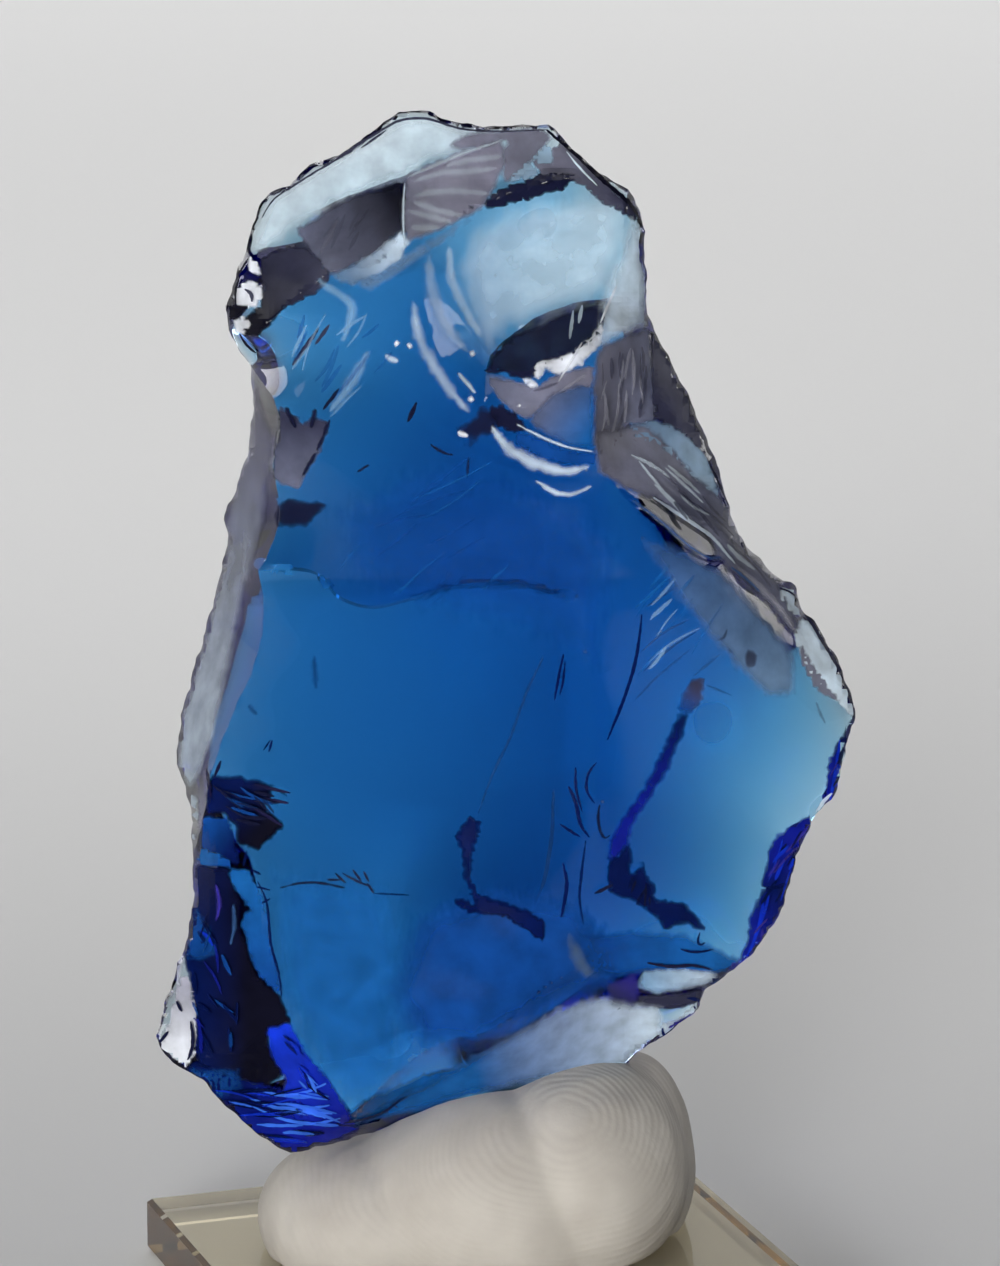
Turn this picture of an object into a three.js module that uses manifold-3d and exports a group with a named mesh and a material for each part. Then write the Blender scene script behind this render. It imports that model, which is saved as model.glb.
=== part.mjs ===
// Andara crystal: a chipped lump of clear blue glass, pressed upright into white putty on a clear
// acrylic square. Millimetres, +Z up. The origin is the centre of the acrylic square's underside.
// The broad face looks along -Y.
import * as THREE from 'three';
import { mergeVertices } from 'three/addons/utils/BufferGeometryUtils.js';
import Module from 'manifold-3d';

const wasm = await Module();
wasm.setup();

// Driving dimensions
const BASE_SIDE = 31.75; // a 1 1/4 inch square
const BASE_THICKNESS = 3.175; // of 1/8 inch sheet
const BASE_BEVEL = 0.25;
const BASE_TURN = THREE.MathUtils.degToRad(19);
const CRYSTAL_Y = 6; // the crystal's middle plane, from the middle of the base
const EYE = new THREE.Vector3(0.34, -324.12, 118.75); // where the lines of sight that measure depth meet
const BEND = 41; // below this height the crystal leans forward ...
const LEAN = 0.16; // ... by this much for each millimetre down
const FACET_SPLITS = 1; // how many times the triangles of a facet are quartered
const PUTTY_GAP = 0.3; // clearance between the putty and the glass

// Points on the crystal are [x, height, depth]: where the line of sight through the point crosses the
// middle plane, and how far beyond that plane the point is. Depth is negative towards the eye.

// The rim, where the near and far sides meet, in lines that run clockwise from the top.
const rim = {
  top: [[-5.2, 67.4, 1.2], [-3.6, 67.4, 1.2], [-2.6, 67, 1.3], [-1.5, 66.7, 1.4], [0.5, 66.6, 1.5]],
  fan: [[0.5, 66.6, 1.5], [3, 66.7, 1.4]],
  brow: [[3, 66.7, 1.4], [3.5, 66.3, 1.4], [4.3, 65.4, 1.3], [5.8, 64, 1.2]],
  temple: [[5.8, 64, 1.2], [7.4, 63.1, 1.2]],
  collar: [[7.4, 63.1, 1.2], [8.1, 61.8, 1], [8.35, 59.5, 0.8], [8.5, 56.1, 1]],
  shoulder: [[8.5, 56.1, 1], [9.6, 53.8, 1.3], [10.6, 51.9, 1.5], [11.7, 49.4, 1.5]],
  patch: [[11.7, 49.4, 1.5], [12.3, 48, 1.3], [12.7, 46.6, 1.2]],
  arm: [[12.7, 46.6, 1.2], [13.4, 44.3, 1], [14.1, 42.9, 0.8]],
  edge: [[14.1, 42.9, 0.8], [15.2, 41.8, 0.6], [16, 41.1, 0.5], [16.8, 40.6, 0.5], [17.3, 39.3, 0.5],
    [18.2, 38.2, 0.3], [19.2, 36.5, 0], [20.1, 34.4, -0.3]],
  side: [[20.1, 34.4, -0.3], [20.3, 33, -0.4], [19.8, 31.2, -0.4], [19.3, 28.7, -0.4], [18.2, 27.3, -0.4],
    [17.3, 25.3, -0.4], [16.9, 24, -0.4], [16.4, 22, -0.5], [15.3, 20, -0.6], [14, 18.5, -0.7],
    [12, 17, -0.6]],
  heel: [[12, 17, -0.6], [11.6, 15.9, 0.6], [9.8, 14.3, 1.5]],
  heelLow: [[9.8, 14.3, 1.5], [8.2, 13.3, 2.4]],
  foot: [[8.2, 13.3, 2.4], [6.5, 11.5, 2.8], [3, 10, 2.4], [-2, 9, 1.3], [-7.2, 8.4, 0.6]],
  corner: [[-7.2, 8.4, 0.6], [-11.8, 7.3, -1], [-12.9, 7.9, -1.4], [-15.3, 10, -2.2], [-16.8, 11.7, -2.4],
    [-18, 12.4, -2.5]],
  chip: [[-18, 12.4, -2.5], [-18.6, 12.9, -2.4], [-19.2, 14.1, -2.2], [-18.8, 15.9, -2],
    [-18.1, 18.1, -1.8], [-17.6, 19.4, -1.6]],
  waist: [[-17.6, 19.4, -1.6], [-17.1, 22, -1.2], [-17.05, 25, -0.4]],
  hip: [[-17.05, 25, -0.4], [-17.2, 28, 0.8], [-17.9, 30.3, 1.8]],
  flank: [[-17.9, 30.3, 1.8], [-17.7, 32.5, 2], [-17.1, 35, 2], [-16.2, 38, 1.8], [-15.4, 41, 1.6]],
  neck: [[-15.4, 41, 1.6], [-14.9, 43.1, 1.5], [-15, 44.7, 1.3], [-14.2, 46.7, 1.2], [-13.6, 49, 1],
    [-13.4, 51.2, 1], [-13.5, 53.2, 1]],
  jaw: [[-13.5, 53.2, 1], [-14.1, 54, 1], [-14.7, 55.2, 1]],
  ear: [[-14.7, 55.2, 1], [-14.8, 56.3, 1], [-14.4, 57.9, 1], [-13.7, 59.6, 1]],
  crown: [[-13.7, 59.6, 1], [-13.4, 60.8, 1], [-12.9, 62.2, 1], [-12.3, 62.9, 1], [-11.3, 63.3, 1],
    [-10.3, 64.3, 1], [-8.2, 65.2, 1.1], [-7, 66.1, 1.1], [-5.2, 67.4, 1.2]],
};

// Ridges of the near side.
const near = {
  leftUpper: [[-13.5, 53.2, 1], [-12.4, 51.5, -3], [-11.9, 50.2, -4], [-12.3, 47.4, -4.3],
    [-11.95, 44.9, -4.5], [-12.7, 42.3, -4.6], [-13.2, 41.5, -4.6]],
  leftLower: [[-13.2, 41.5, -4.6], [-12.9, 39.2, -4.3], [-13.4, 36.3, -4], [-14.8, 33, -3.6],
    [-15.9, 29.9, -3.2], [-16.5, 26.8, -2.6]],
  leftEnd: [[-16.5, 26.8, -2.6], [-17.05, 25, -0.4]],
  cornerTop: [[-16.5, 26.8, -2.6], [-15.6, 25, -3]],
  cornerMid: [[-15.6, 25, -3], [-14.2, 24, -3.5], [-13.4, 22.4, -3.7], [-13, 20, -3.9], [-12.1, 17.4, -4.1],
    [-11.4, 15.6, -4.2]],
  cornerLow: [[-11.4, 15.6, -4.2], [-10.2, 13, -4.2], [-9, 11, -4.2], [-8, 9.5, -4.1]],
  cornerEnd: [[-8, 9.5, -4.1], [-7.2, 8.4, 0.6]],
  cornerCrest: [[-15.6, 25, -3], [-16, 20.5, -2.8], [-15.4, 16, -3], [-14.6, 13.2, -3.1]],
  cornerRoof: [[-14.6, 13.2, -3.1], [-12.8, 15, -3.8], [-11.4, 15.6, -4.2]],
  cornerSill: [[-18, 12.4, -2.5], [-16.5, 12.9, -2.8], [-14.6, 13.2, -3.1]],
  chip: [[-17.6, 19.4, -1.6], [-17, 17.4, -2.3], [-16.9, 14.5, -2.6], [-17.3, 13.3, -2.6],
    [-18, 12.4, -2.5]],
  foot: [[-8, 9.5, -4.1], [-6.4, 11.2, -4.4], [-4.4, 13, -4.8], [-2.4, 14, -5.1], [-0.6, 14.4, -5.3],
    [1, 15.3, -5.4], [2.4, 16.7, -5.2], [3.6, 17.6, -4.7], [5.4, 18.2, -3.7], [7, 17.8, -2.6],
    [8.3, 17.1, -1.8]],
  footEnd: [[7.4, 13.2, 1.9], [8.2, 13.3, 2.4]],
  wave: [[-13.2, 41.5, -4.6], [-11.2, 41.7, -5.3], [-9.9, 41.4, -5.6], [-8.7, 40.1, -5.8], [-7, 39.5, -6],
    [-4.5, 40, -6.4], [-2, 40.7, -6.6], [1, 40.85, -6.7], [3.5, 40.3, -6.3], [5, 39.9, -6]],
  waveLow: [[-13.2, 41.5, -4.6], [-11.2, 41.5, -4.2], [-9.9, 41.2, -4.1], [-8.75, 39.9, -4.1],
    [-7, 39.3, -4.1], [-4.5, 39.8, -4.2], [-2, 40.5, -4.3], [1, 40.65, -4.4], [3.3, 40.15, -5],
    [5, 39.9, -6]],
  waveEnd: [[5, 39.9, -6], [6.2, 43, -6], [6.4, 46.8, -5.2]],
  keel: [[5, 39.9, -6], [5.6, 34, -5.8], [5.8, 28, -5.8], [6.2, 22, -5], [7, 18.9, -3.2],
    [8.3, 17.1, -1.8]],
  heel: [[8.3, 17.1, -1.8], [7.6, 15.2, 0.2], [7.4, 13.2, 1.9]],
  heelTop: [[12, 17.8, -1.5], [10.2, 17.2, -1.7], [8.3, 17.1, -1.8]],
  heelSide: [[12, 17.8, -1.5], [12, 17, -0.6]],
  side: [[20.1, 34.4, -0.3], [19.6, 32.5, -0.8], [18.9, 30.3, -0.9], [18.2, 28.3, -0.9], [16.8, 27.1, -1],
    [16, 26.3, -1], [15.6, 24.8, -1.1], [14.9, 22.5, -1.2], [14, 20.4, -1.4], [13, 18.8, -1.5],
    [12, 17.8, -1.5]],
  edge: [[14.1, 42.9, 0.8], [15.3, 41.1, -1], [16.2, 39.7, -1.3], [16.9, 38.1, -1.4], [17.9, 36.5, -1.2],
    [19, 35.2, -0.8], [20.1, 34.4, -0.3]],
  armLow: [[6.4, 46.8, -5.2], [8, 45, -5.5], [10, 43.7, -5], [12, 42.5, -4], [13.4, 42.4, -2.6],
    [14.1, 42.9, 0.8]],
  armTop: [[6.4, 46.8, -5.2], [8.5, 45.7, -4.6], [10, 45, -3.9], [11.5, 44.4, -3], [13, 43.6, -1.6],
    [14.1, 42.9, 0.8]],
  collarTop: [[7.4, 63.1, 1.2], [7.3, 62, -0.2]],
  collar: [[7.3, 62, -0.2], [7.2, 60, -0.3], [6.8, 58.3, -0.5], [6.3, 57, -0.9]],
  collarLow: [[6.3, 57, -0.9], [5.9, 55, -3.2]],
  throatTop: [[5.9, 55, -3.2], [5.5, 53.5, -4.2]],
  throatMid: [[5.5, 53.5, -4.2], [5.45, 51.5, -4.8], [5.6, 49.5, -5.2]],
  throatLow: [[5.6, 49.5, -5.2], [5.9, 47.7, -5.6]],
  throatEnd: [[5.9, 47.7, -5.6], [6.4, 46.8, -5.2]],
  shoulderTop: [[5.9, 55, -3.2], [7.2, 55.3, -1.8], [8.5, 56.1, 1]],
  shoulderMid: [[8.5, 56.1, 1], [8.3, 53, -0.9], [8.7, 50.4, -1.2]],
  shoulderSill: [[8.7, 50.4, -1.2], [10.4, 50.1, 0.2], [11.7, 49.4, 1.5]],
  patchLeft: [[8.7, 50.4, -1.2], [7.2, 49.9, -2.2]],
  patchTip: [[7.2, 49.9, -2.2], [5.6, 49.5, -5.2]],
  patchLow: [[7.2, 49.9, -2.2], [9.4, 48.7, -1.4], [11.3, 46.9, -0.2], [12.7, 46.6, 1.2]],
  crownLeft: [[-14.7, 55.2, 1], [-12.6, 55.6, -2.4], [-11, 57, -3], [-9, 58.5, -3.2]],
  crownRight: [[-9, 58.5, -3.2], [-6.5, 59, -3.2], [-5, 60.7, -2.8]],
  earTop: [[-13.7, 59.6, 1], [-12.6, 59.8, 0.6], [-10.5, 60.2, 0.2]],
  earSide: [[-10.5, 60.2, 0.2], [-9, 58.5, -3.2]],
  crownStep: [[-10.5, 60.2, 0.2], [-11, 61.2, 0.7]],
  crownLedge: [[-11, 61.2, 0.7], [-9, 62.3, 0.8], [-7.3, 63, 1], [-4.8, 63.9, 1.1]],
  fanLeft: [[-5, 60.7, -2.8], [-4.9, 62.2, -1.1], [-4.8, 63.9, 1.1]],
  fanTop: [[-4.8, 63.9, 1.1], [-3, 65.2, 0.9], [-1, 66.1, 1.1], [0.5, 66.6, 1.5]],
  fanRight: [[3, 66.7, 1.4], [2.2, 65.2, 0.9], [1, 63.9, 0.3]],
  fanLow: [[-5, 60.7, -2.8], [-3.9, 60.6, -2.6]],
  scarLeft: [[-3.9, 60.6, -2.6], [-2.6, 61.2, -1.9]],
  scarTop: [[-2.6, 61.2, -1.9], [-1.2, 62.1, -1.5]],
  browLeft: [[-1.2, 62.1, -1.5], [0, 63.3, 0], [1, 63.9, 0.3]],
  browTop: [[1, 63.9, 0.3], [2.6, 64.2, 0.6], [4.2, 64.2, 0.8], [5, 63.9, 0.9]],
  browLow: [[-1.2, 62.1, -1.5], [0, 62.5, -1.1], [1.6, 63.1, -0.8], [3.6, 63.6, -0.4], [5, 63.9, 0.9]],
  browEnd: [[5, 63.9, 0.9], [5.8, 64, 1.2]],
  shellInner: [[-2.6, 61.2, -1.9], [-2.6, 59, -1.7], [-2.1, 57, -1.7], [-1.2, 55.2, -1.9],
    [-0.2, 53.8, -2.5]],
  shellOuter: [[-3.9, 60.6, -2.6], [-4, 58, -3.2], [-3.6, 55.5, -4], [-2.8, 53.2, -4.8], [-1.6, 51.3, -5.4],
    [-0.4, 50.2, -5.8]],
  shellLow: [[-0.4, 50.2, -5.8], [1, 48.6, -6.2], [2.6, 47.6, -6.4], [4.4, 47.3, -6.2], [5.9, 47.7, -5.6]],
  lipTop: [[6.3, 57, -0.9], [4, 56.6, -0.2], [2.2, 55.8, -0.4], [0.8, 54.8, -1.2], [-0.2, 53.8, -2.5]],
  lipSide: [[-0.2, 53.8, -2.5], [-0.4, 53.1, -3.6]],
  lipLow: [[-0.4, 53.1, -3.6], [0.6, 52.9, -4.6], [2, 52.9, -5], [3, 53.6, -4.8], [4.4, 54, -4.6],
    [5.3, 54.5, -4], [5.9, 55, -3.2]],
  lensTop: [[-0.4, 53.1, -3.6], [1.2, 52.3, -5], [2.8, 52, -5.3], [4.2, 52.7, -5.1], [5.5, 53.5, -4.2]],
  lensSide: [[-0.4, 53.1, -3.6], [-0.5, 51.8, -4.8], [-0.4, 50.2, -5.8]],
  lensLow: [[-0.4, 50.2, -5.8], [0.8, 50.6, -5.4], [2, 50, -5.6], [3.8, 49.4, -5.6], [5.6, 49.5, -5.2]],
};

// Ridges of the far side.
const far = {
  brow: [[-14.7, 55.2, 1], [-12, 56.6, 2.2], [-9.5, 57.4, 3.2], [-4.6, 58.4, 4.2]],
  browRight: [[-4.6, 58.4, 4.2], [0, 57, 3.4], [5, 56, 2.8]],
  browEnd: [[5, 56, 2.8], [8.5, 56.1, 1]],
  leftUpper: [[-4.6, 58.4, 4.2], [-2.6, 53, 4.2], [-1, 47.5, 5.2], [-1.5, 41, 6.6]],
  leftLower: [[-1.5, 41, 6.6], [-3, 34, 5.4], [-4, 28, 5]],
  rightUpper: [[5, 56, 2.8], [5.2, 51, 3.8], [5.5, 46.5, 5], [5.2, 40, 6.2]],
  rightMid: [[5.2, 40, 6.2], [5, 34, 6], [4.6, 30, 5.8]],
  rightLow: [[4.6, 30, 5.8], [4.9, 25, 6.2], [5.2, 21, 6.4]],
  rightEnd: [[5.2, 21, 6.4], [5, 18.2, 4.6]],
  beltLeft: [[-15.4, 41, 1.6], [-11, 40, 4], [-6, 40.5, 5.2], [-1.5, 41, 6.6]],
  beltRight: [[-1.5, 41, 6.6], [2, 41, 6.8], [5.2, 40, 6.2]],
  arm: [[5.2, 40, 6.2], [10, 42, 3.6], [14.1, 42.9, 0.8]],
  hip: [[-17.9, 30.3, 1.8], [-12.5, 29.5, 4], [-8, 28.5, 4.6], [-4, 28, 5]],
  lensTop: [[-4, 28, 5], [-1.2, 28, 5.4]],
  lensRoof: [[-1.2, 28, 5.4], [1.5, 29.5, 5.6], [4.6, 30, 5.8]],
  lensLow: [[-1.2, 28, 5.4], [-0.9, 25.5, 5.6], [-0.5, 23.3, 6], [0.3, 22.2, 6.6], [3, 21.9, 7],
    [5.2, 21, 6.4]],
  panel: [[-4, 28, 5], [-4.8, 23, 4], [-5, 20, 3.6], [-4.8, 17.6, 3.8], [-4, 15.5, 4.2]],
  arch: [[-4, 15.5, 4.2], [-1, 15.8, 4.3], [2, 16.6, 4.4], [5, 18.2, 4.6]],
  heel: [[5, 18.2, 4.6], [6.8, 18, 3.5], [8.6, 16.8, 2.2], [9.8, 14.3, 1.5]],
  ridge: [[-4.6, 58.4, 4.2], [-2.6, 61.5, 3], [-0.5, 64, 2.4]],
  crest: [[-0.5, 64, 2.4], [2.4, 64.3, 2.2], [4.8, 63.5, 1.9], [7.4, 63.1, 1.2]],
  cornerTop: [[-17.05, 25, -0.4], [-15.4, 25.1, 1.2], [-13.2, 24.6, 3]],
  cornerRidge: [[-13.2, 24.6, 3], [-12.5, 21.5, 3.1], [-11.8, 18.5, 3.1], [-10.9, 15.8, 3],
    [-9.8, 13.2, 2.8]],
  cornerLow: [[-18, 12.4, -2.5], [-14, 12, 0.6], [-9.8, 13.2, 2.8]],
  footRidge: [[-9.8, 13.2, 2.8], [-7.4, 13.8, 3.4], [-4, 15.5, 4.2]],
  chip: [[-17.6, 19.4, -1.6], [-16.9, 17.6, -1.5], [-16.8, 14.6, -1.6], [-17.2, 13.3, -2],
    [-18, 12.4, -2.5]],
  side: [[20.1, 34.4, -0.3], [19.8, 33.2, 0.4], [19.5, 32.1, 0.8], [19, 31, 1], [18.7, 29.9, 1.1],
    [18.1, 28.9, 1.2], [17.5, 27.7, 1.3], [16.4, 27.1, 1.6], [15.8, 25.9, 1.8], [15.5, 24.7, 1.9],
    [14.9, 23.5, 2], [14.8, 22.6, 2], [14.2, 21.2, 2], [13.9, 19.8, 2], [13.4, 18.9, 1.8],
    [12.4, 18.4, 1.4], [12, 17, -0.6]],
  panelEnd: [[-4, 15.5, 4.2], [-5.6, 12, 2.7], [-7.2, 8.4, 0.6]],
};

const turned = (line) => [...line].reverse();

// Joins lines end to end into one closed loop of points.
function loop(...lines) {
  return lines.flatMap((line) => line.slice(0, -1));
}

// Each facet is the loop of ridges round it, with any points inside that give it its hollow or swell.
const nearFacets = [
  { loop: loop(rim.hip, rim.flank, rim.neck, near.leftUpper, near.leftLower, near.leftEnd) },
  { loop: loop(near.cornerTop, near.cornerCrest, turned(near.cornerSill), turned(near.chip), rim.waist,
    turned(near.leftEnd)) },
  { loop: loop(near.cornerMid, turned(near.cornerRoof), turned(near.cornerCrest)) },
  { loop: loop(near.cornerLow, near.cornerEnd, rim.corner, near.cornerSill, near.cornerRoof),
    inside: [[-13.5, 10.8, -1.2]] },
  { loop: loop(near.chip, rim.chip) },
  { loop: loop(near.leftLower, near.cornerTop, near.cornerMid, near.cornerLow, near.foot, turned(near.keel),
    turned(near.waveLow)),
    inside: [[-6, 34, -4.2], [-8, 20, -4.4], [0, 26, -4.8], [0, 20, -5.2]] },
  { loop: loop(near.wave, turned(near.waveLow)) },
  { loop: loop(near.keel, turned(near.heelTop), turned(near.side), turned(near.edge), turned(near.armLow),
    turned(near.waveEnd)),
    inside: [[12, 30, -3.4]] },
  { loop: loop(near.foot, near.heel, near.footEnd, rim.foot, turned(near.cornerEnd)) },
  { loop: loop(near.heelTop, near.heel, near.footEnd, turned(rim.heelLow), turned(rim.heel),
    turned(near.heelSide)) },
  { loop: loop(near.side, near.heelSide, turned(rim.side)) },
  { loop: loop(near.edge, turned(rim.edge)) },
  { loop: loop(near.armLow, turned(near.armTop)) },
  { loop: loop(near.armTop, turned(rim.arm), turned(near.patchLow), near.patchTip, near.throatLow,
    near.throatEnd) },
  { loop: loop(near.patchLow, turned(rim.patch), turned(near.shoulderSill), near.patchLeft) },
  { loop: loop(near.shoulderMid, near.shoulderSill, turned(rim.shoulder)) },
  { loop: loop(near.throatTop, near.throatMid, turned(near.patchTip), turned(near.patchLeft),
    turned(near.shoulderMid), turned(near.shoulderTop)) },
  { loop: loop(near.collarTop, near.collar, near.collarLow, near.shoulderTop, turned(rim.collar)) },
  { loop: loop(near.scarTop, near.browLow, near.browEnd, rim.temple, near.collarTop, near.collar,
    near.lipTop, turned(near.shellInner)),
    inside: [[0, 59.5, -0.4], [3, 60, 0.3], [3.4, 57.8, 0.3]] },
  { loop: loop(near.lipTop, near.lipSide, near.lipLow, turned(near.collarLow)) },
  { loop: loop(near.lipLow, near.throatTop, turned(near.lensTop)) },
  { loop: loop(near.lensTop, near.throatMid, turned(near.lensLow), turned(near.lensSide)) },
  { loop: loop(near.lensLow, near.throatLow, turned(near.shellLow)) },
  { loop: loop(near.scarLeft, near.shellInner, near.lipSide, near.lensSide, turned(near.shellOuter)) },
  { loop: loop(near.browLeft, near.browTop, turned(near.browLow)) },
  { loop: loop(rim.brow, turned(near.browEnd), turned(near.browTop), turned(near.fanRight)) },
  { loop: loop(near.fanTop, rim.fan, near.fanRight, turned(near.browLeft), turned(near.scarTop),
    turned(near.scarLeft), turned(near.fanLow), near.fanLeft) },
  { loop: loop(rim.crown, rim.top, turned(near.fanTop), turned(near.crownLedge), turned(near.crownStep),
    turned(near.earTop)) },
  { loop: loop(near.crownLedge, turned(near.fanLeft), turned(near.crownRight), turned(near.earSide),
    near.crownStep) },
  { loop: loop(near.crownLeft, turned(near.earSide), turned(near.earTop), turned(rim.ear)) },
  { loop: loop(rim.jaw, near.crownLeft, near.crownRight, near.fanLow, near.shellOuter, near.shellLow,
    near.throatEnd, turned(near.waveEnd), turned(near.wave), turned(near.leftUpper)),
    inside: [[-5, 45, -6.2], [1, 44, -6.9], [-8, 53, -3.8]] },
];

const farFacets = [
  { loop: loop(rim.ear, rim.crown, rim.top, rim.fan, rim.brow, rim.temple, turned(far.crest),
    turned(far.ridge), turned(far.brow)) },
  { loop: loop(far.ridge, far.crest, rim.collar, turned(far.browEnd), turned(far.browRight)) },
  { loop: loop(rim.neck, rim.jaw, far.brow, far.leftUpper, turned(far.beltLeft)) },
  { loop: loop(far.browRight, far.rightUpper, turned(far.beltRight), turned(far.leftUpper)) },
  { loop: loop(far.browEnd, rim.shoulder, rim.patch, rim.arm, turned(far.arm), turned(far.rightUpper)) },
  { loop: loop(rim.flank, far.beltLeft, far.leftLower, turned(far.hip)) },
  { loop: loop(far.beltRight, far.rightMid, turned(far.lensRoof), turned(far.lensTop),
    turned(far.leftLower)) },
  { loop: loop(far.lensRoof, far.rightLow, turned(far.lensLow)) },
  { loop: loop(far.hip, far.panel, turned(far.footRidge), turned(far.cornerRidge), turned(far.cornerTop),
    rim.hip) },
  { loop: loop(far.chip, rim.chip) },
  { loop: loop(far.cornerTop, far.cornerRidge, turned(far.cornerLow), turned(far.chip), rim.waist) },
  { loop: loop(far.cornerLow, far.footRidge, far.panelEnd, rim.corner) },
  { loop: loop(far.arch, far.heel, rim.heelLow, rim.foot, turned(far.panelEnd)) },
  { loop: loop(far.lensTop, far.lensLow, far.rightEnd, turned(far.arch), turned(far.panel)),
    inside: [[0, 19, 6.8]] },
  { loop: loop(far.side, turned(rim.side)) },
  { loop: loop(far.arm, rim.edge, far.side, rim.heel, turned(far.heel), turned(far.rightEnd),
    turned(far.rightLow), turned(far.rightMid)),
    inside: [[12, 38, 3.2], [12, 30, 3.1], [12, 24, 3.3], [16, 34, 1.7]] },
];

// A thin plate bent through the given points: returns its depth at any x and height.
function bentPlate(points) {
  const bend = (dx, dh) => {
    const r2 = dx * dx + dh * dh;
    return r2 > 0 ? r2 * Math.log(r2) : 0;
  };
  const size = points.length + 3;
  const rows = points.map(([x, h, depth]) =>
    [...points.map(([px, ph]) => bend(x - px, h - ph)), 1, x, h, depth]);
  rows.push([...points.map(() => 1), 0, 0, 0, 0]);
  rows.push([...points.map(([x]) => x), 0, 0, 0, 0]);
  rows.push([...points.map(([, h]) => h), 0, 0, 0, 0]);
  for (let column = 0; column < size; column += 1) {
    let pivot = column;
    for (let row = column + 1; row < size; row += 1) {
      if (Math.abs(rows[row][column]) > Math.abs(rows[pivot][column])) pivot = row;
    }
    [rows[column], rows[pivot]] = [rows[pivot], rows[column]];
    for (let row = 0; row < size; row += 1) {
      if (row === column) continue;
      const factor = rows[row][column] / rows[column][column];
      if (factor === 0) continue;
      for (let k = column; k <= size; k += 1) rows[row][k] -= factor * rows[column][k];
    }
  }
  const weights = rows.map((row, i) => row[size] / row[i]);
  return (x, h) => {
    let depth = weights[size - 3] + weights[size - 2] * x + weights[size - 1] * h;
    points.forEach(([px, ph], i) => { depth += weights[i] * bend(x - px, h - ph); });
    return depth;
  };
}

// Puts a point of the crystal in the object's frame.
function place([x, h, depth]) {
  const leaning = depth + LEAN * Math.min(h - BEND, 0);
  const reach = 1 + leaning / (CRYSTAL_Y - EYE.y);
  return new THREE.Vector3(x, CRYSTAL_Y, h).sub(EYE).multiplyScalar(reach).add(EYE);
}

const middle = (a, b) => a.map((value, i) => (value + b[i]) / 2);
const key = (p) => `${p[0].toFixed(4)},${p[1].toFixed(4)}`;

// Triangles of one facet: ridges stay straight between their points, and the inside follows the
// bent plate.
function facetTriangles({ loop: points, inside = [] }) {
  const halfway = points.map((p, i) => middle(p, points[(i + 1) % points.length]));
  const plate = bentPlate([...points, ...halfway, ...inside]);
  const edges = new Map();
  points.forEach((p, i) => {
    const q = points[(i + 1) % points.length];
    edges.set([key(p), key(q)].sort().join('|'), true);
  });
  const flat = points.map(([x, h]) => new THREE.Vector2(x, h));
  let triangles = THREE.ShapeUtils.triangulateShape(flat, [])
    .map((corners) => corners.map((i) => points[i]));
  for (let split = 0; split < FACET_SPLITS; split += 1) {
    const halve = (a, b) => {
      const m = middle(a, b);
      const name = [key(a), key(b)].sort().join('|');
      if (edges.has(name)) {
        edges.set([key(a), key(m)].sort().join('|'), true);
        edges.set([key(m), key(b)].sort().join('|'), true);
      } else {
        m[2] = plate(m[0], m[1]);
      }
      return m;
    };
    triangles = triangles.flatMap(([a, b, c]) => {
      const [ab, bc, ca] = [halve(a, b), halve(b, c), halve(c, a)];
      return [[a, ab, ca], [ab, b, bc], [ca, bc, c], [ab, bc, ca]];
    });
  }
  return triangles;
}

function crystalGeometry() {
  const faces = new Map();
  const addFacets = (facets, nearSide) => {
    for (const facet of facets) {
      for (const triangle of facetTriangles(facet)) {
        const [a, b, c] = triangle;
        const turn = (b[0] - a[0]) * (c[1] - a[1]) - (b[1] - a[1]) * (c[0] - a[0]);
        const facing = (turn > 0) === nearSide ? triangle : [a, c, b];
        const name = facing.map((p) => `${key(p)},${p[2].toFixed(4)}`).sort().join('|');
        // Where both sides have the same triangle at the rim, there is no glass between them.
        if (faces.has(name)) faces.delete(name);
        else faces.set(name, facing);
      }
    }
  };
  addFacets(nearFacets, true);
  addFacets(farFacets, false);
  const positions = [...faces.values()].flatMap((face) => face.flatMap((point) => place(point).toArray()));
  const geometry = new THREE.BufferGeometry();
  geometry.setAttribute('position', new THREE.Float32BufferAttribute(positions, 3));
  return mergeVertices(geometry, 1e-4);
}

function toManifold(geometry) {
  const bare = geometry.clone();
  bare.deleteAttribute('normal');
  bare.deleteAttribute('uv');
  const merged = mergeVertices(bare, 1e-4);
  return new wasm.Manifold(new wasm.Mesh({
    numProp: 3,
    vertProperties: new Float32Array(merged.attributes.position.array),
    triVerts: new Uint32Array(merged.index.array),
  }));
}

function fromManifold(solid) {
  const { vertProperties, triVerts } = solid.getMesh();
  const geometry = new THREE.BufferGeometry();
  geometry.setAttribute('position', new THREE.Float32BufferAttribute(vertProperties, 3));
  geometry.setIndex([...triVerts]);
  return geometry;
}

// A lump of putty: an ellipsoid turned about Z.
function lump([x, y, z], [rx, ry, rz], turnDegrees) {
  const geometry = new THREE.SphereGeometry(1, 22, 14);
  geometry.scale(rx, ry, rz);
  geometry.rotateZ(THREE.MathUtils.degToRad(turnDegrees));
  geometry.translate(x, y, z);
  return toManifold(geometry);
}

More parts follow.
